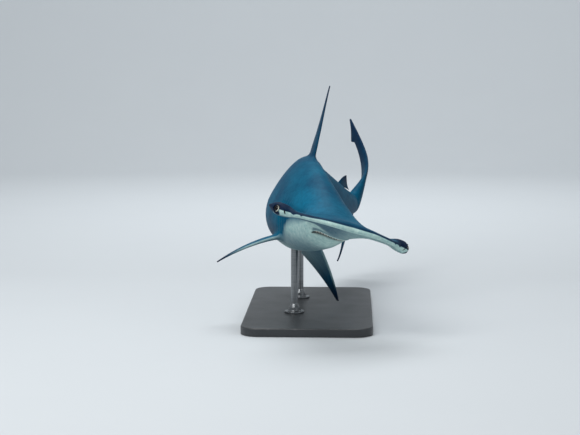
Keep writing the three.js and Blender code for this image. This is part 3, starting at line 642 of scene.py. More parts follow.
def mouth_line(t):
    """Line of the mouth from its right corner (t = -1) to its left one: (out, back) points.

    Out goes as the sine of a turn, and back as the square of t. The second value is the unit
    direction in the plan from the upper jaw to the lower one.
    """
    turn = np.pi / 2 * mouth["sweep"]
    out = mouth["half"] * np.sin(t * turn) / np.sin(turn)
    back = mix(mouth["front"], mouth["corner"], t * t)
    along = np.stack([
        mouth["half"] * turn * np.cos(t * turn) / np.sin(turn),
        2 * t * (mouth["corner"] - mouth["front"]),
    ], -1)
    along = along / np.linalg.norm(along, axis=-1, keepdims=True)
    return np.stack([out, back], -1), np.stack([-along[..., 1], along[..., 0]], -1)


def mouth_open(t):
    """How far the mouth is open: a bow over its line that closes to a crease at its ends."""
    return np.maximum(mouth["closed"], np.maximum(0, 1 - t * t) ** mouth["bow"])


mouth_at = np.sin(np.linspace(-np.pi / 2, np.pi / 2, 73))
mouth_plan, jaw_way = mouth_line(mouth_at)
mouth_gap = mouth["gape"] / 2 * mouth_open(mouth_at)
mouth_wall = np.array([
    (1.5, -0.60), (0.98, -0.14), (0.86, -0.02), (0.84, 0.12), (1.05, 0.50), (0.92, 0.80),
    (0.5, 0.97), (0, 1.02),
])
mouth_wall = np.concatenate([mouth_wall, mouth_wall[-2::-1] * (-1, 1)])


def mouth_cutter():
    """Closed wedge of the open mouth: the wall profile carried along the line of the mouth."""
    wide = mouth_wall[:, 0] * mouth_gap[:, None]
    plan = mouth_plan[:, None] + jaw_way[:, None] * wide[..., None]
    rise = mouth_wall[:, 1] * mouth["deep"]
    rise = np.where(mouth_wall[:, 1] < 0, rise, rise * mouth_open(mouth_at)[:, None])
    up = underside(mouth_plan[:, 1], mouth_plan[:, 0])[:, None] + rise
    return np.concatenate([plan, up[..., None]], -1)


def lip_radius(jaw, t):
    """Radius of a lip, half as thick at the corners of the mouth as in its middle."""
    return lip[jaw] * mix(0.5, 1, mouth_open(t))


def lip_roll(jaw, way):
    """Tube along one edge of the mouth, way = -1 for the upper lip and 1 for the lower.

    It tapers to the corners and is set into the skin by a share of its radius.
    """
    angle = full_turn(20)
    radius = lip_radius(jaw, mouth_at)
    middle = mouth_plan + jaw_way * (way * (mouth_gap + radius * lip["set_out"]))[:, None]
    up = underside(middle[:, 1], middle[:, 0]) + lip["sunk"] * radius
    plan = middle[:, None] + jaw_way[:, None] * (radius[:, None] * np.cos(angle))[..., None]
    up = up[:, None] - radius[:, None] * np.sin(angle)
    return np.concatenate([plan, up[..., None]], -1)


def lathe(radius, height, sides):
    """Rings of a profile turned round the upright axis."""
    around = full_turn(sides)
    radius, height = np.array(radius)[:, None], np.array(height)[:, None]
    return np.stack([radius * np.cos(around), radius * np.sin(around), height + 0 * around], -1)


def ball(radii, rows=24, sides=40):
    """Rings of an ellipsoid round its second axis, from one pole to the other."""
    across = np.linspace(0, np.pi, rows)[1:-1]
    return lathe(np.sin(across), np.cos(across), sides)[..., [0, 2, 1]] * radii


def turned(points, axis, degrees):
    """The points turned about one of the three axes, anticlockwise seen from its far end."""
    cos, sin = np.cos(np.radians(degrees)), np.sin(np.radians(degrees))
    first, second = (axis + 1) % 3, (axis + 2) % 3
    result = np.array(points, dtype=float)
    result[..., first] = points[..., first] * cos - points[..., second] * sin
    result[..., second] = points[..., first] * sin + points[..., second] * cos
    return result


def nostril_slot(side):
    """Ellipsoid set into the front edge and tilted across it, its upper end outwards."""
    slot = ball((nostril["long"] / 2, nostril["deep"], nostril["wide"] / 2))
    slot = turned(slot, 1, -side * nostril["tilt"])
    edge = float(front_edge(nostril["out"]))
    at = (side * nostril["out"], edge, wing_lift(side * nostril["out"], edge) + nostril["up"])
    return turned(slot, 2, side * nostril["turn"]) + at


def groove_rings(side):
    """Thin rod half sunk along the front edge, from the nostril towards the middle.

    Its ends shrink as the square root of 1 less the eighth power of the place along it.
    """
    t = np.linspace(0, 1, 60)[:, None]
    out = mix(groove["from"], groove["to"], t)
    angle = full_turn(12)
    swell = np.sqrt(np.clip(1 - (2 * t - 1) ** 8, 0.02, 1))
    sunk = 0.6 * (1 - swell) - 0.8 * swell * np.cos(angle)
    back = front_edge(out) + groove["deep"] * sunk
    up = wing_lift(side * out, back) + groove["up"] + groove["half"] * swell * np.sin(angle)
    return np.stack([side * out + 0 * angle, back, up], -1)


for jaw, way in (("upper", -1), ("lower", 1)):
    fuse("lips", closed_tube(lip_roll(jaw, way)), "UNION")
fuse("mouth", closed_tube(mouth_cutter()), "DIFFERENCE")
for side in (-1, 1):
    fuse("nostrils", closed_tube(nostril_slot(side)), "DIFFERENCE")
    fuse("grooves", closed_tube(groove_rings(side)), "DIFFERENCE")


# Eyes and lids
# Each eye is a glass ball in a socket at the end of the hammer, looking outwards and a little
# forwards. A soft fixed lid, fuller above than below, runs all the way round it.
eye = {"radius": 0.0185, "back": 0.107, "out": 0.2885, "up": 0.0025, "forward": 28, "gap": 0.0003}
lid = {"ring": 0.0170, "thick": 0.0029, "fuller": 0.0006, "proud": 0.0075}
eye_clear = {"near": 0.0135, "far": 0.0220, "long": 0.037}


def into_socket(points, side):
    """Carries points made round the eye's line of sight, the second axis, to their eye."""
    at = (side * eye["out"], eye["back"], eye["up"] + wing_lift(side * eye["out"], eye["back"]))
    return turned(points, 2, -side * (90 + eye["forward"])) + at


def lid_ring():
    """Torus round the line of sight whose tube is thicker above the eye than below it."""
    around, across = full_turn(80)[:, None], full_turn(20)
    tube = lid["thick"] + lid["fuller"] * np.sin(around)
    radius = lid["ring"] + tube * np.cos(across)
    forward = lid["proud"] + tube * np.sin(across)
    return np.stack([radius * np.cos(around), forward, radius * np.sin(around)], -1)


def closed_ring(rings):
    """Vertices and faces of rings that close on themselves both ways."""
    count, sides = rings.shape[:2]
    return rings.reshape(-1, 3), (grid_faces(count + 1, sides) % (count * sides)).tolist()


def eye_funnel():
    """Cone frustum round the line of sight that clears the flesh from in front of the eye."""
    t = np.array([0, 0.5, 1])
    radius = mix(eye_clear["near"], eye_clear["far"], t)
    return lathe(radius, t * eye_clear["long"], 48)[..., [0, 2, 1]]


for side in (-1, 1):
    fuse("body", closed_tube(into_socket(eye_funnel(), side)), "DIFFERENCE")
    fuse("lids", closed_ring(into_socket(lid_ring(), side)), "UNION")
    socket = ball((eye["radius"] + eye["gap"],) * 3)
    fuse("sockets", closed_tube(into_socket(socket, side)), "DIFFERENCE")


# Skin
# One skin goes over the whole body with no seam. It is drawn out smoothly on to the fins, and
# the finished form is bent along the spine and banked as it hangs over its stand.
spine_step = 0.004
pose = {"yaw": 21, "pitch": 4.4, "bank": 16.8, "snout": (0.190, -0.790, 0.465)}
neck_blend = {"reach": 0.055, "weight": 0.6, "rounds": 40}
root_weight = 0.7
root_blends = [
    (0.044, 46, ("first_dorsal_fin", "pectoral_fin_left", "pectoral_fin_right")),
    (0.018, 24, ("second_dorsal_fin", "anal_fin", "pelvic_fin_left", "pelvic_fin_right",
                 "caudal_fin_lower")),
    (0.007, 14, ("lids",)),
    (0.004, 3, ("lips",)),
    (0.003, 3, ("mouth", "nostrils", "grooves")),
]


def mesh_values(items, name, width=1, kind=np.int32):
    """One property of every vertex, edge, corner or face: an array, or rows of the given width."""
    values = np.empty(len(items) * width, dtype=kind)
    items.foreach_get(name, values)
    return values.reshape(-1, width) if width > 1 else values


body_form.data.validate()
skin_place = mesh_values(body_form.data.vertices, "co", 3, float)
skin_edge = mesh_values(body_form.data.edges, "vertices", 2)
corner_point = mesh_values(body_form.data.loops, "vertex_index")
skin_count = len(skin_place)
mark_names = [mark.name for mark in body_form.data.materials]
corner_mark = np.repeat(
    mesh_values(body_form.data.polygons, "material_index"),
    mesh_values(body_form.data.polygons, "loop_total"),
)


def corners_on(names):
    """How many corners of faces with the named marks meet at each point."""
    wanted = np.isin(corner_mark, [mark_names.index(name) for name in names])
    return np.bincount(corner_point, wanted, skin_count)


def distance_from(start, most, steps=40):
    """Distance over the skin from the starting points, passed on along the edges up to a limit."""
    a, b = skin_edge.T
    length = np.linalg.norm(skin_place[a] - skin_place[b], axis=1)
    distance = np.where(start, 0, most)
    for _ in range(steps):
        before = distance.copy()
        np.minimum.at(distance, a, before[b] + length)
        np.minimum.at(distance, b, before[a] + length)
    return distance


def smoothed(values, weight, rounds):
    """Moves each point's row of values towards its neighbours' mean by a weight, again and again."""
    a, b = skin_edge.T
    count = np.bincount(skin_edge.ravel(), minlength=skin_count)
    for _ in range(rounds):
        total = [np.bincount(a, column[b], skin_count) + np.bincount(b, column[a], skin_count)
                 for column in values.T]
        values = values + weight * (np.stack(total, -1) / count[:, None] - values)
    return values


from_neck = np.abs(skin_place[:, 1] - parting["neck"])
weight = neck_blend["weight"] * fade(from_neck, 0, neck_blend["reach"])
skin_place = smoothed(skin_place, weight[:, None], neck_blend["rounds"])
for reach, rounds, names in root_blends:
    others = [name for name in mark_names if name not in names and name != "sockets"]
    edge_of_mark = (corners_on(names) > 0) & (corners_on(others) > 0)
    weight = root_weight * fade(distance_from(edge_of_mark, reach), 0, reach)
    skin_place = smoothed(skin_place, weight[:, None], rounds)

spine_at = np.arange(0, total_length + 0.2, spine_step)
spine_turn = np.radians(heading(spine_at[1:] - spine_step / 2))
spine_side = np.concatenate([[0], np.cumsum(spine_step * np.sin(spine_turn))])
spine_back = np.concatenate([[0], np.cumsum(spine_step * np.cos(spine_turn))])


def bent(points):
    """Straight points carried on to the bent spine, each across the spine's heading there.

    The tail droops by the square of the distance from the shoulders.
    """
    side, s, up = points.T
    turn = np.radians(heading(s))
    x = np.interp(s, spine_at, spine_side) + side * np.cos(turn)
    y = np.interp(s, spine_at, spine_back) - side * np.sin(turn) + np.minimum(s, 0)
    behind = np.maximum(0, s - tail_droop["from"]) / (total_length - tail_droop["from"])
    return np.stack([x, y, up - tail_droop["drop"] * behind ** 2], -1)


def posed(points):
    """The bent points as they hang: banked about the spine, pitched, then turned to the camera."""
    hung = bent(np.reshape(points, (-1, 3)))
    for axis, name in ((1, "bank"), (0, "pitch"), (2, "yaw")):
        hung = turned(hung, axis, pose[name])
    return (hung + pose["snout"]).reshape(np.shape(points))


body_form.data.vertices.foreach_set("co", posed(skin_place).ravel())
body_form.data.update()


# Colours of the skin
# The back is deep teal and the belly off-white, and the change between them is soft on the
# flanks but sharp along the front edge of the hammer, where a dark line runs above it. The ends
# of the hammer are nearly black above, and the fins darken to dusky tips.
shade_line = fair_curve([
    (0, 0.009), (0.10, 0.009), (0.18, -0.002), (0.25, -0.022), (0.32, -0.036), (0.40, -0.056),
    (0.43, -0.072), (0.46, -0.102), (0.49, -0.134), (0.54, -0.160), (0.65, -0.172), (0.80, -0.170),
    (1.0, -0.150), (1.2, -0.118), (1.4, -0.078), (1.6, -0.042), (1.764, -0.028), (2.4, -0.024),
])
shade_soft = fair_curve([
    (0, 0.0020), (0.12, 0.003), (0.20, 0.008), (0.30, 0.022), (0.42, 0.038), (0.54, 0.024),
    (0.90, 0.018), (1.40, 0.014), (1.764, 0.010), (2.4, 0.010),
])
head_ends = (0.16, 0.30)
front_edge_white = {
    "drop": 0.006, "out": (0.09, 0.20), "back": (0.15, 0.20),
    "dips": ((0.243, 0.007, 0.006), (0.214, 0.004, 0.004)),
}
# The undersides of the paired fins keep only a small pale share, falling towards their tips: painted
# shade over what would be white, besides their dusky tips.
fin_white = {
    "face": 0.002, "under": (0.34, 0.10), "under_out": (0.1, 0.7), "lead": 0.88,
    "lead_behind": (0.002, 0.008), "lead_out": (0.45, 0.95), "lead_root": (-0.05, 0.08),
    "trail": 0.55, "trail_chord": (0.92, 0.99), "trail_out": (0.75, 1.0),
}
fin_dusk = {
    "paired": (0.35, 1.0), "lead": 0.6, "ridge": 0.48, "ridge_tip": 0.42, "ridge_out": (0.2, 1.0),
}
fin_cover = {"back": 0.95, "belly": 0.5}
fin_ray = {"across": 44, "along": 1.6, "out": (0.02, 0.25), "chord": (0.10, 0.40)}
tail_white = {"lobe": 0.12, "down": (0.03, 0.10), "ends": (1.62, 1.78), "kept_down": (0.06, 0.12)}
tail_dusk = {"lobe": 0.9, "down": (0.08, 0.28), "top": 0.85, "back": (1.60, 2.20), "above": -0.05}
dark_end = {
    "out": (0.208, 0.252), "line": 0.003, "dip": 0.020, "dip_back": (0.095, 0.125), "soft": 0.002,
    "ring": (0.0225, 0.0265), "dusk": 0.95,
}
dark_line = {
    "above": (0.0005, 0.0025), "ahead": (0.010, 0.026), "back": (0.16, 0.20), "middle": 0.6,
    "out": (0, 0.10), "dusk": 0.90,
}


def evened(share, weight, rounds):
    """A share at each point, evened out with its neighbours' shares."""
    return smoothed(share[:, None], weight, rounds)[:, 0]


def share_of_mark(name):
    """How much of the faces round each point have the named mark, evened out a little."""
    total = np.bincount(corner_point, minlength=skin_count)
    return evened(corners_on([name]) / np.maximum(1, total), 0.7, 8)


def on_blade(fin):
    """Each point in the frame of a fin: back along its root, out along it, and off its face."""
    if "root_side" in fin:
        return ((skin_place - paired_root(fin)) @ paired_axes(fin).T).T
    line = back_height if fin["up"] > 0 else belly_depth
    side, s, up = skin_place.T
    return s - fin["origin"], fin["up"] * up - line(s), side


def behind_front(fin, along, out):
    """Share of the chord, and distance, by which each point lies behind the front edge of a fin."""
    front, rear = fin_outline(fin, np.linspace(0, 1, 50))
    front_at = np.interp(out, front[:, 1], front[:, 0])
    rear_at = np.interp(out, np.maximum.accumulate(rear[:, 1]), rear[:, 0])
    return (along - front_at) / np.maximum(0.01, rear_at - front_at), along - front_at


side, s, up = skin_place.T
far = np.abs(side)
over_plane = up - wing_lift(side, s) * fade(s, *head_ends)
edge_drop = front_edge_white["drop"] * ease(far, *front_edge_white["out"])
for at, wide, deep in front_edge_white["dips"]:
    edge_drop = edge_drop + deep * bell(far, at, wide)
change_line = shade_line(s) - edge_drop * fade(s, *front_edge_white["back"])
pale = fade(over_plane, change_line - shade_soft(s), change_line + shade_soft(s))
dusk = np.zeros(skin_count)
rays = np.zeros((skin_count, 3))
for name, fin in {**paired_fins, **ridge_fins}.items():
    on_fin = share_of_mark(name)
    along, out, off = on_blade(fin)
    chord, behind = behind_front(fin, along, out)
    out = np.clip(out / fin["tall"], 0, 1.1)
    if name in paired_fins:
        under = ease(-off, -fin_white["face"], fin_white["face"])
        # A painted highlight runs along the inner part of each paired fin's front edge, on both faces.
        lead = fade(behind, *fin_white["lead_behind"]) * fade(out, *fin_white["lead_out"])
        lead = lead * ease(out, *fin_white["lead_root"])
        trail = fin_white["trail"] * under * ease(chord, *fin_white["trail_chord"])
        trail = trail * fade(out, *fin_white["trail_out"])
        # Painted shade: the underside keeps little of its pale colour.
        under = under * mix(*fin_white["under"], ease(out, *fin_white["under_out"]))
        pale = mix(pale, np.maximum(under, fin_white["lead"] * lead), on_fin)
        pale = np.maximum(pale, trail * on_fin)
        bright = np.maximum(fin_dusk["lead"] * lead, trail)
        dusk = np.maximum(dusk, on_fin * ease(out, *fin_dusk["paired"]) * (1 - bright))
    else:
        pale = pale * (1 - on_fin * fin_cover["back" if fin["up"] > 0 else "belly"])
        tip_dusk = fin_dusk["ridge_tip"] * ease(out, *fin_dusk["ridge_out"])
        dusk = np.maximum(dusk, on_fin * (fin_dusk["ridge"] + tip_dusk))
    strength = on_fin * ease(out, *fin_ray["out"]) * ease(chord, *fin_ray["chord"])
    fin_rays = np.stack([chord * fin_ray["across"], out * fin_ray["along"], strength], -1)
    rays = rays + fin_rays * (on_fin > 0)[:, None]
on_lobe = share_of_mark("caudal_fin_lower")
pale = mix(pale, tail_white["lobe"], on_lobe * ease(-up, *tail_white["down"]))
pale = pale * (1 - ease(s, *tail_white["ends"]) * (1 - on_lobe * ease(-up, *tail_white["kept_down"])))
dusk = np.maximum(dusk, on_lobe * ease(-up, *tail_dusk["down"]) * tail_dusk["lobe"])
dusk = np.maximum(dusk, tail_dusk["top"] * ease(s, *tail_dusk["back"]) * (up > tail_dusk["above"]))

# The dark ends of the hammer, with a ring round each eye, and the dark line over its front edge.
eye_at = np.array([eye["out"], eye["back"], eye["up"]])
from_eye = np.linalg.norm(np.stack([far, s, over_plane], -1) - eye_at, axis=1)
ahead = np.maximum(0, s - front_edge(far))
end_line = dark_end["line"] - dark_end["dip"] * ease(s, *dark_end["dip_back"])
end_dark = ease(over_plane, end_line - dark_end["soft"], end_line + dark_end["soft"])
end_dark = np.maximum(end_dark * ease(far, *dark_end["out"]), fade(from_eye, *dark_end["ring"]))
edge_dark = ease(over_plane - change_line, *dark_line["above"]) * fade(ahead, *dark_line["ahead"])
edge_dark = edge_dark * fade(s, *dark_line["back"])
edge_dark = edge_dark * mix(dark_line["middle"], 1, ease(far, *dark_line["out"]))
pale = pale * (1 - end_dark)
dark_places = [
    (end_dark, dark_end["dusk"]), (edge_dark, dark_line["dusk"]),
    (share_of_mark("lids"), dark_end["dusk"]),
]
for share, strength in dark_places:
    dusk = np.maximum(dusk, strength * share)

# Painted shade lies behind the front edge of the head's underside, stronger on the shark's right,
# and on the throat. A crease of painted shade runs beside the upper lip, and the lips stay clear
# of it. A painted highlight lies on the top of the skull.
under_head_shade = {
    "neck": (0.26, 0.30), "below": (0, 0.006), "ahead": (0.014, 0.030), "back": (0.105, 0.150),
    "strength": (0.46, 0.96), "side": (0.06, -0.08), "on_end": 0.4, "with_pale": 1.6,
}
throat_shade = {
    "start": (0.20, 0.30), "end": (0.46, 0.70), "strength": (0.30, 0.75), "down": (0.080, 0.145),
}
mouth_shade = {
    "out": 0.13, "back": 0.30, "crease": 0.0035, "crease_reach": 0.05, "corner": (0.86, 0.99),
    "lip": 0.0055, "lip_reach": 0.03, "set_out": 0.8, "strength": 0.85,
}
skull_lit = {"out": 0.105, "wide": 0.045, "start": (0.11, 0.19), "end": (0.34, 0.52), "up": (0, 0.03)}
# Painted shade under the hammer, behind its front edge.
slate = ease(ahead, *under_head_shade["ahead"]) * fade(s, *under_head_shade["back"]) * fade(s, *under_head_shade["neck"])
slate = slate * ease(-over_plane, *under_head_shade["below"]) * (1 - under_head_shade["on_end"] * end_dark)
slate = slate * mix(*under_head_shade["strength"], ease(side, *under_head_shade["side"]))
# Painted shade on the throat, darker lower down.
throat = ease(s, *throat_shade["start"]) * fade(s, *throat_shade["end"])
slate = np.maximum(slate, throat * mix(*throat_shade["strength"], ease(-up, *throat_shade["down"])))
line_t = np.linspace(-1, 1, 241)
line_plan, line_way = mouth_line(line_t)
near_mouth = (s < mouth_shade["back"]) & (far < mouth_shade["out"]) & (over_plane < 0)
offset = skin_place[near_mouth, None, :2] - line_plan
distance = np.sqrt((offset ** 2).sum(-1))
nearest = np.argmin(distance, axis=1)
beyond = distance.min(axis=1)
offset = offset[np.arange(len(nearest)), nearest]
from_mouth = np.einsum("nk,nk->n", offset, line_way[nearest])
nearest_t = line_t[nearest]
gap = mouth["gape"] / 2 * mouth_open(nearest_t)
# A thin line of painted shade along the crease beside the upper lip.
lip_crease_shade = bell(from_mouth, -gap - 2 * lip_radius("upper", nearest_t), mouth_shade["crease"])
lip_crease_shade = lip_crease_shade * (beyond < mouth_shade["crease_reach"])
lip_crease_shade = lip_crease_shade * fade(np.abs(nearest_t), *mouth_shade["corner"])
on_lip = bell(np.abs(from_mouth), gap + lip["lower"] * mouth_shade["set_out"], mouth_shade["lip"])
on_lip = on_lip * (beyond < mouth_shade["lip_reach"])
clear = slate[near_mouth] * (1 - mouth_shade["strength"] * on_lip)
slate[near_mouth] = np.maximum(clear, mouth_shade["strength"] * lip_crease_shade)
# A painted highlight, lighter teal, on both sides of the skull's top from the hammer back over the nape.
lit = bell(far, skull_lit["out"], skull_lit["wide"]) * ease(s, *skull_lit["start"])
lit = lit * fade(s, *skull_lit["end"]) * ease(up, *skull_lit["up"])

# Inside the mouth, the nostrils and the slits the skin is painted dark: in the mouth a dark flesh
# colour that also stands for the shade in it, and in the nostrils and deep in the slits painted
# shade. A point's depth in a slit is how far it lies inside the plain section of the body, whose
# formula is turned round to find it.
slit = {"middle": 0.488, "along": 0.08, "beyond": 0.01, "deep": (0.0008, 0.005), "dark": 0.7}
holes = [("mouth", ["body", "lips"], 0.6, 3), ("nostrils", ["body"], 0.5, 2)]
depth = np.zeros(skin_count)
for hole, around_it, weight, rounds in holes:
    inner = (corners_on([hole]) > 0) & (corners_on(around_it) == 0)
    depth = np.maximum(depth, evened(inner * 1.0, weight, rounds))
level = widest_level(s)
tall = np.where(up > level, back_height(s) - level, belly_depth(s) + level)
power = np.where(up > level, 1 / ridge_power(s), 1 / belly_flat)
rise = np.clip(np.abs(up - level) / tall, 0, 1) ** power
inward = side_width(s) * np.sqrt(1 - rise ** 2) - far
at_slits = (np.abs(s - slit["middle"]) < slit["along"]) & (up < gills["top"] + slit["beyond"])
at_slits = at_slits & (up > gills["bottom"] - slit["beyond"])
depth = np.maximum(depth, slit["dark"] * ease(inward, *slit["deep"]) * at_slits)


def keep_on(piece, name, values):
    """Stores a number, or a vector, for each point of a piece, for its material to read."""
    kind, field = ("FLOAT", "value") if values.ndim == 1 else ("FLOAT_VECTOR", "vector")
    layer = piece.data.attributes.new(name, kind, "POINT")
    layer.data.foreach_set(field, values.astype(np.float32).ravel())


# The painted shade lies only on the pale skin.
slate = slate * np.minimum(1, under_head_shade["with_pale"] * pale)
for name, values in {
    "pale": pale, "dusk": dusk, "depth": depth, "slate": slate, "lit": lit, "along_rays": rays,
    "along_skin": skin_place,
}.items():
    keep_on(body_form, name, values)


def srgb(red, green, blue):
    """Linear colour of an 8-bit screen colour."""
    part = np.array([red, green, blue]) / 255
    linear = np.where(part <= 0.04045, part / 12.92, ((part + 0.055) / 1.055) ** 2.4)
    return tuple(float(x) for x in linear)


class Signal:
    """A number, colour or vector on its way through the nodes of a material.

    Arithmetic on numbers adds Math nodes, from either side, and node() adds any other node.
    """

    def __init__(self, tree, socket=None):
        self.tree = tree
        self.socket = socket

    def node(self, kind, settings, values, output=0):
        """A new node: its settings are set first, then the values or links of its sockets."""
        made = self.tree.nodes.new(kind)
        for name, value in settings.items():
            if name == "stops":
                stops = made.color_ramp.elements
                while len(stops) < len(value):
                    stops.new(1)
                for stop, (place, grey) in zip(stops, value):
                    stop.position = place
                    stop.color = (grey, grey, grey, 1)
            else:
                setattr(made, name, value)
        for name, value in values.items():
            if isinstance(value, Signal):
                self.tree.links.new(value.socket, made.inputs[name])
            else:
                made.inputs[name].default_value = value
        return Signal(self.tree, made.outputs[output] if len(made.outputs) else None)

    def maths(self, operation, *values):
        """A Math node on the given numbers."""
        return self.node("ShaderNodeMath", {"operation": operation}, dict(enumerate(values)))

    def __add__(self, other):
        return self.maths("ADD", self, other)

    def __radd__(self, other):
        return self.maths("ADD", other, self)

    def __sub__(self, other):
        return self.maths("SUBTRACT", self, other)

    def __rsub__(self, other):
        return self.maths("SUBTRACT", other, self)

    def __mul__(self, other):
        return self.maths("MULTIPLY", self, other)

    def __rmul__(self, other):
        return self.maths("MULTIPLY", other, self)

    def __pow__(self, other):
        return self.maths("POWER", self, other)

    def ramp(self, *stops):
        """The number carried through a ramp of (place, grey) stops."""
        return self.node("ShaderNodeValToRGB", {"stops": stops}, {"Fac": self})

    def blend(self, first, second):
        """Mix of two colours by this share, each a signal or an 8-bit screen colour."""
        values = {0: self}
        for socket, colour in ((6, first), (7, second)):
            values[socket] = colour if isinstance(colour, Signal) else srgb(*colour) + (1,)
        return self.node("ShaderNodeMix", {"data_type": "RGBA", "blend_type": "MIX"}, values, output=2)

    def noise(self, scale, detail=3, rough=0.5):
        """Grey noise of so many features to the metre, at this place."""
        values = {"Vector": self, "Scale": scale, "Detail": detail, "Roughness": rough}
        return self.node("ShaderNodeTexNoise", {}, values)

    def split(self):
        """The three numbers of this vector."""
        made = self.node("ShaderNodeSeparateXYZ", {}, {"Vector": self}).socket.node
        return [Signal(self.tree, socket) for socket in made.outputs]

    def bump(self, strength, distance):
        """Normal of a surface that is raised by this height."""
        values = {"Strength": strength, "Distance": distance, "Height": self}
        return self.node("ShaderNodeBump", {}, values)

    def read(self, name, output=2):
        """What the piece keeps at each point under a name: a number, or with output 1 a vector."""
        return self.node("ShaderNodeAttribute", {"attribute_name": name}, {}, output)

    def place(self):
        """The place on the piece, in its Object coordinates."""
        return self.node("ShaderNodeTexCoord", {}, {}, output=3)

    def finish(self, values):
        """Ends the material in a Principled shader with the given values."""
        shader = self.node("ShaderNodeBsdfPrincipled", {}, values)
        self.node("ShaderNodeOutputMaterial", {}, {"Surface": shader})


def new_material(name):
    """An empty material, and a signal to build its nodes from."""
    material = bpy.data.materials.new(name)
    material.use_nodes = True
    material.node_tree.nodes.clear()
    return material, Signal(material.node_tree)


def coat_with(piece, material):
    """Gives a finished piece its one material and smooth faces."""
    piece.data.materials.clear()
    piece.data.materials.append(material)
    count = len(piece.data.polygons)
    piece.data.polygons.foreach_set("material_index", np.zeros(count, dtype=np.int32))
    piece.data.polygons.foreach_set("use_smooth", np.ones(count, dtype=bool))
    piece.data.update()


hide_tint = {
    "back": (0, 67, 96), "clouds": (2, 93, 122), "lit": (8, 112, 146), "mottle": (0, 47, 76),
    "belly": (198, 226, 219), "belly_mottle": (128, 178, 181), "slate": (10, 68, 102),
    "pores": (16, 44, 62), "dusk": (8, 16, 46), "rays": (4, 34, 60), "grain": (4, 26, 42),
    "inside": (26, 14, 20),
}
hide, h = new_material("shark_hide")
where = h.read("along_skin", 1)
clouds, mottle, grain = where.noise(7, 4), where.noise(60, 4, 0.6), where.noise(520, 3, 0.6)
along_rays = h.read("along_rays", 1)
streak = (along_rays.noise(1, 2, 0.6) - 0.5) * along_rays.split()[2]
painted_shade_share = h.read("slate")
pores = h.node("ShaderNodeTexVoronoi", {}, {"Vector": where, "Scale": 62})
pores = pores.ramp((0.07, 1), (0.11, 0)) * painted_shade_share.ramp((0.05, 0), (0.30, 1))
back = clouds.ramp((0.35, 0), (0.68, 1)).blend(hide_tint["back"], hide_tint["clouds"])
# Painted highlight on the top of the skull.
back = (h.read("lit") * 0.6).blend(back, hide_tint["lit"])
back = (mottle.ramp((0.40, 0), (0.70, 1)) * 0.35).blend(back, hide_tint["mottle"])
belly = mottle.ramp((0.35, 0), (0.75, 1)) * 0.7
belly = belly.blend(hide_tint["belly"], hide_tint["belly_mottle"])
belly_share = h.read("pale") + (mottle - 0.5) * 0.18 + (clouds - 0.5) * 0.14
coat = belly_share.ramp((0.12, 0), (0.88, 1)).blend(back, belly)
for share, tint in (
    # Painted shade under the head, on the throat and beside the upper lip.
    (painted_shade_share * 0.85, "slate"),
    (pores * 0.7, "pores"),
    ((h.read("dusk") + (mottle - 0.5) * 0.14).ramp((0.1, 0), (1, 0.94)), "dusk"),
    ((streak + 0.5).ramp((0.48, 0), (0.62, 1)) * 0.35, "rays"),
    (grain.ramp((0.35, 0), (0.75, 1)) * 0.10, "grain"),
    # Painted shade, with dark flesh in the mouth, inside the mouth, the nostrils and the slits.
    (h.read("depth") * 0.95, "inside"),
):
    coat = share.blend(coat, hide_tint[tint])
height = grain * 0.35 + mottle * 0.4 + streak * 1.6 - pores * 1.5
hide_rough = 0.52 + (grain - 0.5) * 0.16 + (mottle - 0.5) * 0.14
h.finish({
    "Base Color": coat, "Roughness": hide_rough, "Normal": height.bump(0.4, 0.0006),
    "Specular IOR Level": 0.06, "Coat Roughness": 0.30, "Coat Weight": 0.02,
})
coat_with(body_form, hide)
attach(body_form, "root")
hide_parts("head", "trunk", "tail_stalk", "caudal_fin_upper", "caudal_fin_lower",
            *ridge_fins, *paired_fins)


# Eyeballs
# Each is a ball with a slightly raised clear front. Under the gloss lie a large dark pupil and
# a gunmetal iris with fine rays, whose forward side is a bright silver crescent.
cornea = {"reach": 0.62, "rise": 0.0011, "clear": 0.0004, "rows": 60, "sides": 72}
eye_tint = {
    "silver": ((226, 228, 214), (164, 168, 158)), "gunmetal": ((26, 26, 31), (13, 13, 18)),
    "ring": (16, 18, 22), "pupil": (6, 7, 10),
}
crescent_off = {"rear": 0.0036, "up": 0.0014}
per_ramp = 1 / 0.02


def eyeball():
    """Ball round the line of sight, raised by a bell over the angle from it."""
    across = np.linspace(0, np.pi, cornea["rows"])[1:-1, None, None]
    raised = cornea["rise"] * np.exp(-((across / cornea["reach"]) ** 2) * 2)
    return ball(1, cornea["rows"], cornea["sides"]) * (eye["radius"] - cornea["clear"] + raised)


gloss, g = new_material("eye_gloss")
where = g.read("in_eye", 1)
x, _, z = where.split()
from_middle = (x * x + z * z) ** 0.5
off_x, off_z = x + crescent_off["rear"], z - crescent_off["up"]
from_rear = (off_x * off_x + off_z * off_z) ** 0.5
wisps = where.noise(620)
rays = g.maths("SINE", g.maths("ARCTAN2", x, z) * 46 + wisps * 9)
silver = (rays * 0.16 + 0.3).blend(*eye_tint["silver"])
gunmetal = (rays * 0.2 + 0.4).blend(*eye_tint["gunmetal"])
colour = (from_rear * per_ramp).ramp((0.640, 0), (0.662, 1)).blend(gunmetal, silver)
colour = (from_middle * per_ramp).ramp((0.585, 0), (0.625, 1)).blend(colour, eye_tint["ring"])
pupil = ((from_middle + wisps * 0.0005) * per_ramp).ramp((0.440, 1), (0.462, 0))
g.finish({
    "Base Color": pupil.blend(colour, eye_tint["pupil"]), "Roughness": 0.20,
    "Specular IOR Level": 0.10, "Coat Weight": 0.22, "Coat Roughness": 0.03,
})
points, faces = closed_tube(eyeball())
for side, name in ((1, "left"), (-1, "right")):
    piece = form("eyeball_" + name, points, faces)
    keep_on(piece, "in_eye", points * (side, 1, 1))
    piece.data.vertices.foreach_set("co", posed(into_socket(points, side)).ravel())
    coat_with(piece, gloss)
    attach(piece, "root")
    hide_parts("eye_" + name)


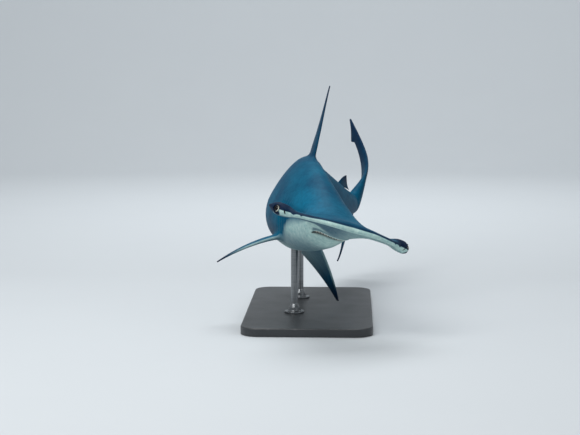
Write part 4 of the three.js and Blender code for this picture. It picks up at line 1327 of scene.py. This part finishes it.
# Teeth
# Small flat triangular teeth stand in two rows along each jaw, slanting into the mouth, the
# upper ones broader than the lower ones. They are cast in ivory resin.
tooth = {
    "tall": 0.0074, "wide": 0.0056, "thick": 0.0021, "lean_aside": 0.0012, "root": 0.004,
    "clear": 0.0006, "lean": 38, "smaller_at_corner": 0.25, "seed": 7,
}
tooth_rows = [
    {"jaw": -1, "count": 29, "reach": 0.86, "sunk": 0, "size": 1.0},
    {"jaw": -1, "count": 28, "reach": 0.80, "sunk": 0.0035, "size": 0.85},
    {"jaw": 1, "count": 27, "reach": 0.84, "sunk": 0, "size": 0.82},
    {"jaw": 1, "count": 26, "reach": 0.78, "sunk": 0.0035, "size": 0.7},
]


def tooth_rings():
    """One upright tooth: flat ellipses that shrink to a point and lean a little to one side."""
    v = np.array([-0.45, 0, 0.22, 0.45, 0.68, 0.87, 1])[:, None]
    around = full_turn(8)
    shrink = np.maximum(0.03, 1 - np.maximum(0, v)) ** 1.15
    x = tooth["wide"] / 2 * shrink * np.cos(around) + tooth["lean_aside"] * np.maximum(0, v) ** 2
    y = tooth["thick"] / 2 * shrink ** 0.7 * np.sin(around)
    return np.stack([x, y, tooth["tall"] * v + 0 * around], -1)


def tooth_row(jaw, count, reach, sunk, size):
    """Copies of the tooth along one jaw, each turned to the mouth's line and leaning inwards."""
    chance = np.random.default_rng(tooth["seed"] + count)
    t = np.linspace(-reach, reach, count) + chance.normal(0, 0.2 / count, count)
    plan, way = mouth_line(t)
    gap = mouth["gape"] / 2 * mouth_open(t)
    at = plan + way * (jaw * (gap - tooth["clear"] + sunk))[:, None]
    up = underside(plan[:, 1], plan[:, 0]) + tooth["root"] + sunk
    scale = size * (1 - tooth["smaller_at_corner"] * np.abs(t)) * (1 + chance.normal(0, 0.05, count))
    lean = np.radians(tooth["lean"] + chance.normal(0, 4, count))[:, None]
    inward = np.concatenate([-jaw * way, np.zeros((count, 1))], -1)
    rise = inward * np.sin(lean) + np.array([0, 0, -1]) * np.cos(lean)
    mirror = np.sign(t + 1e-9)
    sideways = np.stack([-way[:, 1] * mirror, way[:, 0] * mirror, 0 * t], -1)
    axes = np.stack([sideways, np.cross(rise, sideways), rise], 1)
    points, faces = closed_tube(tooth_rings())
    moved = np.einsum("pk,nkc->npc", points, axes) * scale[:, None, None]
    moved = moved + np.concatenate([at, up[:, None]], -1)[:, None]
    step = np.arange(count) * len(points)
    return moved.reshape(-1, 3), [[i + move for i in face] for move in step for face in faces]


def joined(shapes):
    """Points and faces of several shapes, given as (points, faces) pairs, as one."""
    all_points, all_faces = np.zeros((0, 3)), []
    for points, faces in shapes:
        all_faces += [[i + len(all_points) for i in face] for face in faces]
        all_points = np.concatenate([all_points, points])
    return all_points, all_faces


tooth_points, tooth_faces = joined(tooth_row(**row) for row in tooth_rows)
teeth = form("teeth", posed(tooth_points), tooth_faces)
ivory, v = new_material("ivory_teeth")
stain = v.place().noise(240).ramp((0.35, 0), (0.75, 1))
ivory_colour = stain.blend((240, 238, 228), (222, 216, 198))
v.finish({"Base Color": ivory_colour, "Roughness": 0.25, "Coat Weight": 0.4})
coat_with(teeth, ivory)
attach(teeth, "root")


# Stand base
# A heavy slab with rounded corners and eased edges, sprayed in satin charcoal. The paint has a
# fine orange-peel surface and has worn a little paler along its top edge.
base = {"long": 1.120, "wide": 0.560, "thick": 0.036, "corner": 0.080, "edge": 0.006, "foot": 0.003}
slab_size = np.array([base["wide"], base["long"]])
slab_insets = {"below": [0.20, 0.06], "above": [0.012, 0.03, 0.07, 0.20]}


def slab_outline(inset):
    """Rounded rectangle, pulled in by the inset: an arc at each corner, then a straight side."""
    arc_turn = np.linspace(0, np.pi / 2, 14)
    corners = []
    for quarter, signs in enumerate([(1, 1), (-1, 1), (-1, -1), (1, -1)]):
        turn = arc_turn + quarter * np.pi / 2
        way = np.stack([np.cos(turn), np.sin(turn)], -1)
        corners.append((slab_size / 2 - base["corner"]) * signs + (base["corner"] - inset) * way)
    parts = []
    for corner, following in zip(corners, corners[1:] + corners[:1]):
        parts += [corner, mix(corner[-1], following[0], np.linspace(0, 1, 12)[1:-1, None])]
    return np.concatenate(parts)


def squeezed(inset):
    """Outline pulled in by an inset, which past the corner's radius also shrinks the rectangle."""
    limit = min(inset, base["corner"] * 0.8)
    return slab_outline(limit) * (slab_size / 2 - inset) / (slab_size / 2 - limit)


def slab_rings():
    """The outline carried up the slab's edge: a small round below and a larger one above."""
    low, high = np.linspace(0, np.pi / 2, 5), np.linspace(0, np.pi / 2, 8)
    inset = np.concatenate([
        slab_insets["below"], base["foot"] * (1 - np.sin(low)), base["edge"] * (1 - np.cos(high)),
        slab_insets["above"],
    ])
    height = np.concatenate([
        [0, 0], base["foot"] * (1 - np.cos(low)), base["thick"] - base["edge"] * (1 - np.sin(high)),
        [base["thick"]] * 4,
    ])
    return np.array([np.pad(squeezed(amount), ((0, 0), (0, 1)), constant_values=z)
                     for amount, z in zip(inset, height)])


slab = form("stand_base_slab", *closed_tube(slab_rings()))
paint, p = new_material("charcoal_paint")
where = p.place()
peel, dust = where.noise(420, 2), where.noise(9, 4)
up_edge = where.split()[2] * (1 / base["thick"])
worn = where.noise(34, 4).ramp((0.52, 0), (0.72, 1))
worn = up_edge.ramp((0.78, 0), (0.90, 1), (0.985, 1), (1, 0)) * worn
charcoal = (dust.ramp((0.3, 0), (0.7, 1)) * 0.5).blend((46, 49, 52), (58, 61, 64))
charcoal = (worn * 0.3).blend(charcoal, (120, 122, 122))
paint_rough = 0.42 + (dust - 0.5) * 0.2 + (peel - 0.5) * 0.08
p.finish({"Base Color": charcoal, "Roughness": paint_rough, "Normal": peel.bump(0.25, 0.0004)})
coat_with(slab, paint)
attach(slab, "root")
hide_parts("stand_base")


# Stand rods
# Two steel rods stand in turned flanges, each held down by four cap screws, and run up into
# sockets in the belly. The steel is brushed round the rod and lightly oiled.
rod = {
    "radius": 0.015, "foot": 0.044, "flange": 0.008, "collar": 0.023, "tall": 0.026, "neck": 0.040,
    "eased": 0.0012, "hollow": 0.0045, "bore": 0.004, "end": 0.002, "into_belly": 0.012, "gap": 0.0003,
}
screw = {
    "ring": 0.0345, "radius": 0.0046, "tall": 0.0040, "socket": 0.0022, "deep": 0.002,
    "eased": 0.001, "middle": 0.0005, "dish": 0.0022,
}


def arc(x, y, radius, start, end, count):
    """Points of an arc of a profile, angles in degrees."""
    angle = np.radians(np.linspace(start, end, count))
    return [(x + radius * np.cos(a), y + radius * np.sin(a)) for a in angle]


def turned_rod(top):
    """Flange with eased rims, a hollow curve up to the collar, a cone, and the plain rod."""
    foot, e, hollow = base["thick"] + rod["gap"], rod["eased"], rod["hollow"]
    neck = foot + rod["neck"]
    profile = [(rod["bore"], foot), (rod["foot"] - e, foot)]
    profile += arc(rod["foot"] - e, foot + e, e, -90, 0, 4)
    profile += arc(rod["foot"] - e, foot + rod["flange"] - e, e, 0, 90, 4)
    profile += arc(rod["collar"] + hollow, foot + rod["flange"] + hollow, hollow, 270, 180, 7)
    profile += arc(rod["collar"] - e, foot + rod["tall"] - e, e, 0, 60, 4)
    profile += [(rod["radius"] + 0.0008, neck - 0.0012), (rod["radius"], neck)]
    profile += [(rod["radius"], z) for z in np.linspace(neck + 0.004, top - rod["end"], 8)]
    profile += [(rod["radius"] - rod["end"], top), (rod["bore"], top)]
    return closed_tube(lathe(*zip(*profile), 72))


def turned_screw():
    """Round screw head with a rounded rim and a deep socket."""
    r, e, deep, middle = screw["radius"], screw["eased"], screw["deep"], screw["middle"]
    foot = base["thick"] + rod["flange"]
    top = foot + screw["tall"]
    profile = [(middle, foot - deep), (r, foot - deep), (r, top - e), *arc(r - e, top - e, e, 20, 90, 4)]
    profile += [(screw["socket"], top), (screw["socket"], top - deep), (middle, top - screw["dish"])]
    return closed_tube(lathe(*zip(*profile), 24))


steel, t = new_material("brushed_steel")
where = t.place()
stretched = t.node("ShaderNodeMapping", {}, {"Vector": where, "Scale": (6, 6, 260)})
brush, smudge = stretched.noise(1), where.noise(26)
steel_rough = 0.38 + (brush - 0.5) * 0.12 + (smudge - 0.5) * 0.10
t.finish({
    "Base Color": brush.ramp((0.3, 0), (0.7, 1)).blend((128, 131, 134), (146, 149, 152)),
    "Roughness": steel_rough, "Metallic": 1.0, "Normal": brush.bump(0.06, 0.0002),
})
for name in ("stand_rod_front", "stand_rod_rear"):
    low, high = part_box(name)
    shapes = [turned_rod(high.z + rod["into_belly"])]
    for turn in np.radians([45, 135, 225, 315]):
        points, faces = turned_screw()
        shapes.append((points + np.array([np.cos(turn), np.sin(turn), 0]) * screw["ring"], faces))
    points, faces = joined(shapes)
    axis = np.array([(low.x + high.x) / 2, (low.y + high.y) / 2, 0])
    piece = form(name + "_steel", points + axis, faces)
    coat_with(piece, steel)
    piece.data.set_sharp_from_angle(angle=np.radians(35))
    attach(piece, "root")
    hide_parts(name)


# Room
# A pale studio floor runs out level and sweeps up far away all round, under large soft lights.
studio = {"level": 8, "sweep": 5, "sides": 96, "below": 0.0005}


def bowl():
    """Floor rings: level out to 8 m, then a quarter circle of 5 m up."""
    turn = np.linspace(0, np.pi / 2, 24)
    radius = np.concatenate([[0.5, 3, 6], studio["level"] + studio["sweep"] * np.sin(turn)])
    height = np.concatenate([[0, 0, 0], studio["sweep"] * (1 - np.cos(turn))]) - studio["below"]
    return lathe(radius, height, studio["sides"])


rings = bowl()
middle = rings.shape[0] * rings.shape[1]
mesh = bpy.data.meshes.new("studio_floor")
mesh.from_pydata(
    np.concatenate([rings.reshape(-1, 3), [[0, 0, -studio["below"]]]]), [],
    grid_faces(*rings.shape[:2]).tolist()
    + [[middle, (j + 1) % studio["sides"], j] for j in range(studio["sides"])],
)
floor = bpy.data.objects.new("studio_floor", mesh)
bpy.context.scene.collection.objects.link(floor)
floor_paint, f = new_material("studio_floor")
floor_colour = (f.place().noise(1.5) * 0.4).blend((196, 201, 205), (190, 195, 200))
f.finish({"Base Color": floor_colour, "Roughness": 0.7})
coat_with(floor, floor_paint)


def soft_light(name, place, toward, size, power, colour):
    """Square area light at a place, facing a point."""
    lamp = bpy.data.lights.new(name, "AREA")
    lamp.size = size
    lamp.energy = power
    lamp.color = colour
    source = bpy.data.objects.new(name, lamp)
    bpy.context.scene.collection.objects.link(source)
    way = np.array(toward) - np.array(place)
    level = np.hypot(way[0], way[1])
    source.location = place
    source.rotation_euler = (np.pi / 2 + np.arctan2(way[2], level), 0, np.arctan2(-way[0], way[1]))


soft_light("key", (-2.6, -4.0, 5.2), (0.1, 0, 0.7), 3.6, 280, (1.0, 0.99, 0.97))
soft_light("top", (-0.4, 1.4, 5.6), (0.1, 0, 0.7), 4.0, 220, (0.97, 0.99, 1.0))
soft_light("fill", (4.6, -3.2, 2.4), (0.1, 0, 0.6), 3.0, 30, (0.96, 0.98, 1.0))
soft_light("wall", (0, 4.4, 6.4), (0, 12.0, 2.6), 5.0, 420, (0.97, 0.99, 1.0))
world = bpy.data.worlds.new("studio")
world.use_nodes = True
world.node_tree.nodes["Background"].inputs["Color"].default_value = (0.86, 0.90, 0.93, 1)
world.node_tree.nodes["Background"].inputs["Strength"].default_value = 0.38
bpy.context.scene.world = world
bpy.context.scene.view_settings.view_transform = "Standard"


# Camera
# It stands where the photograph was taken from, low in front of the shark and to its right.
lens = bpy.data.cameras.new("view")
lens.sensor_width = 36
lens.lens = 91.73
lens.clip_end = 100
camera = bpy.data.objects.new("view", lens)
bpy.context.scene.collection.objects.link(camera)
camera.location = (0.190, -6.629, 1.1819)
camera.rotation_euler = (np.radians(90 - 6.375), 0, np.radians(2.426))
bpy.context.scene.camera = camera
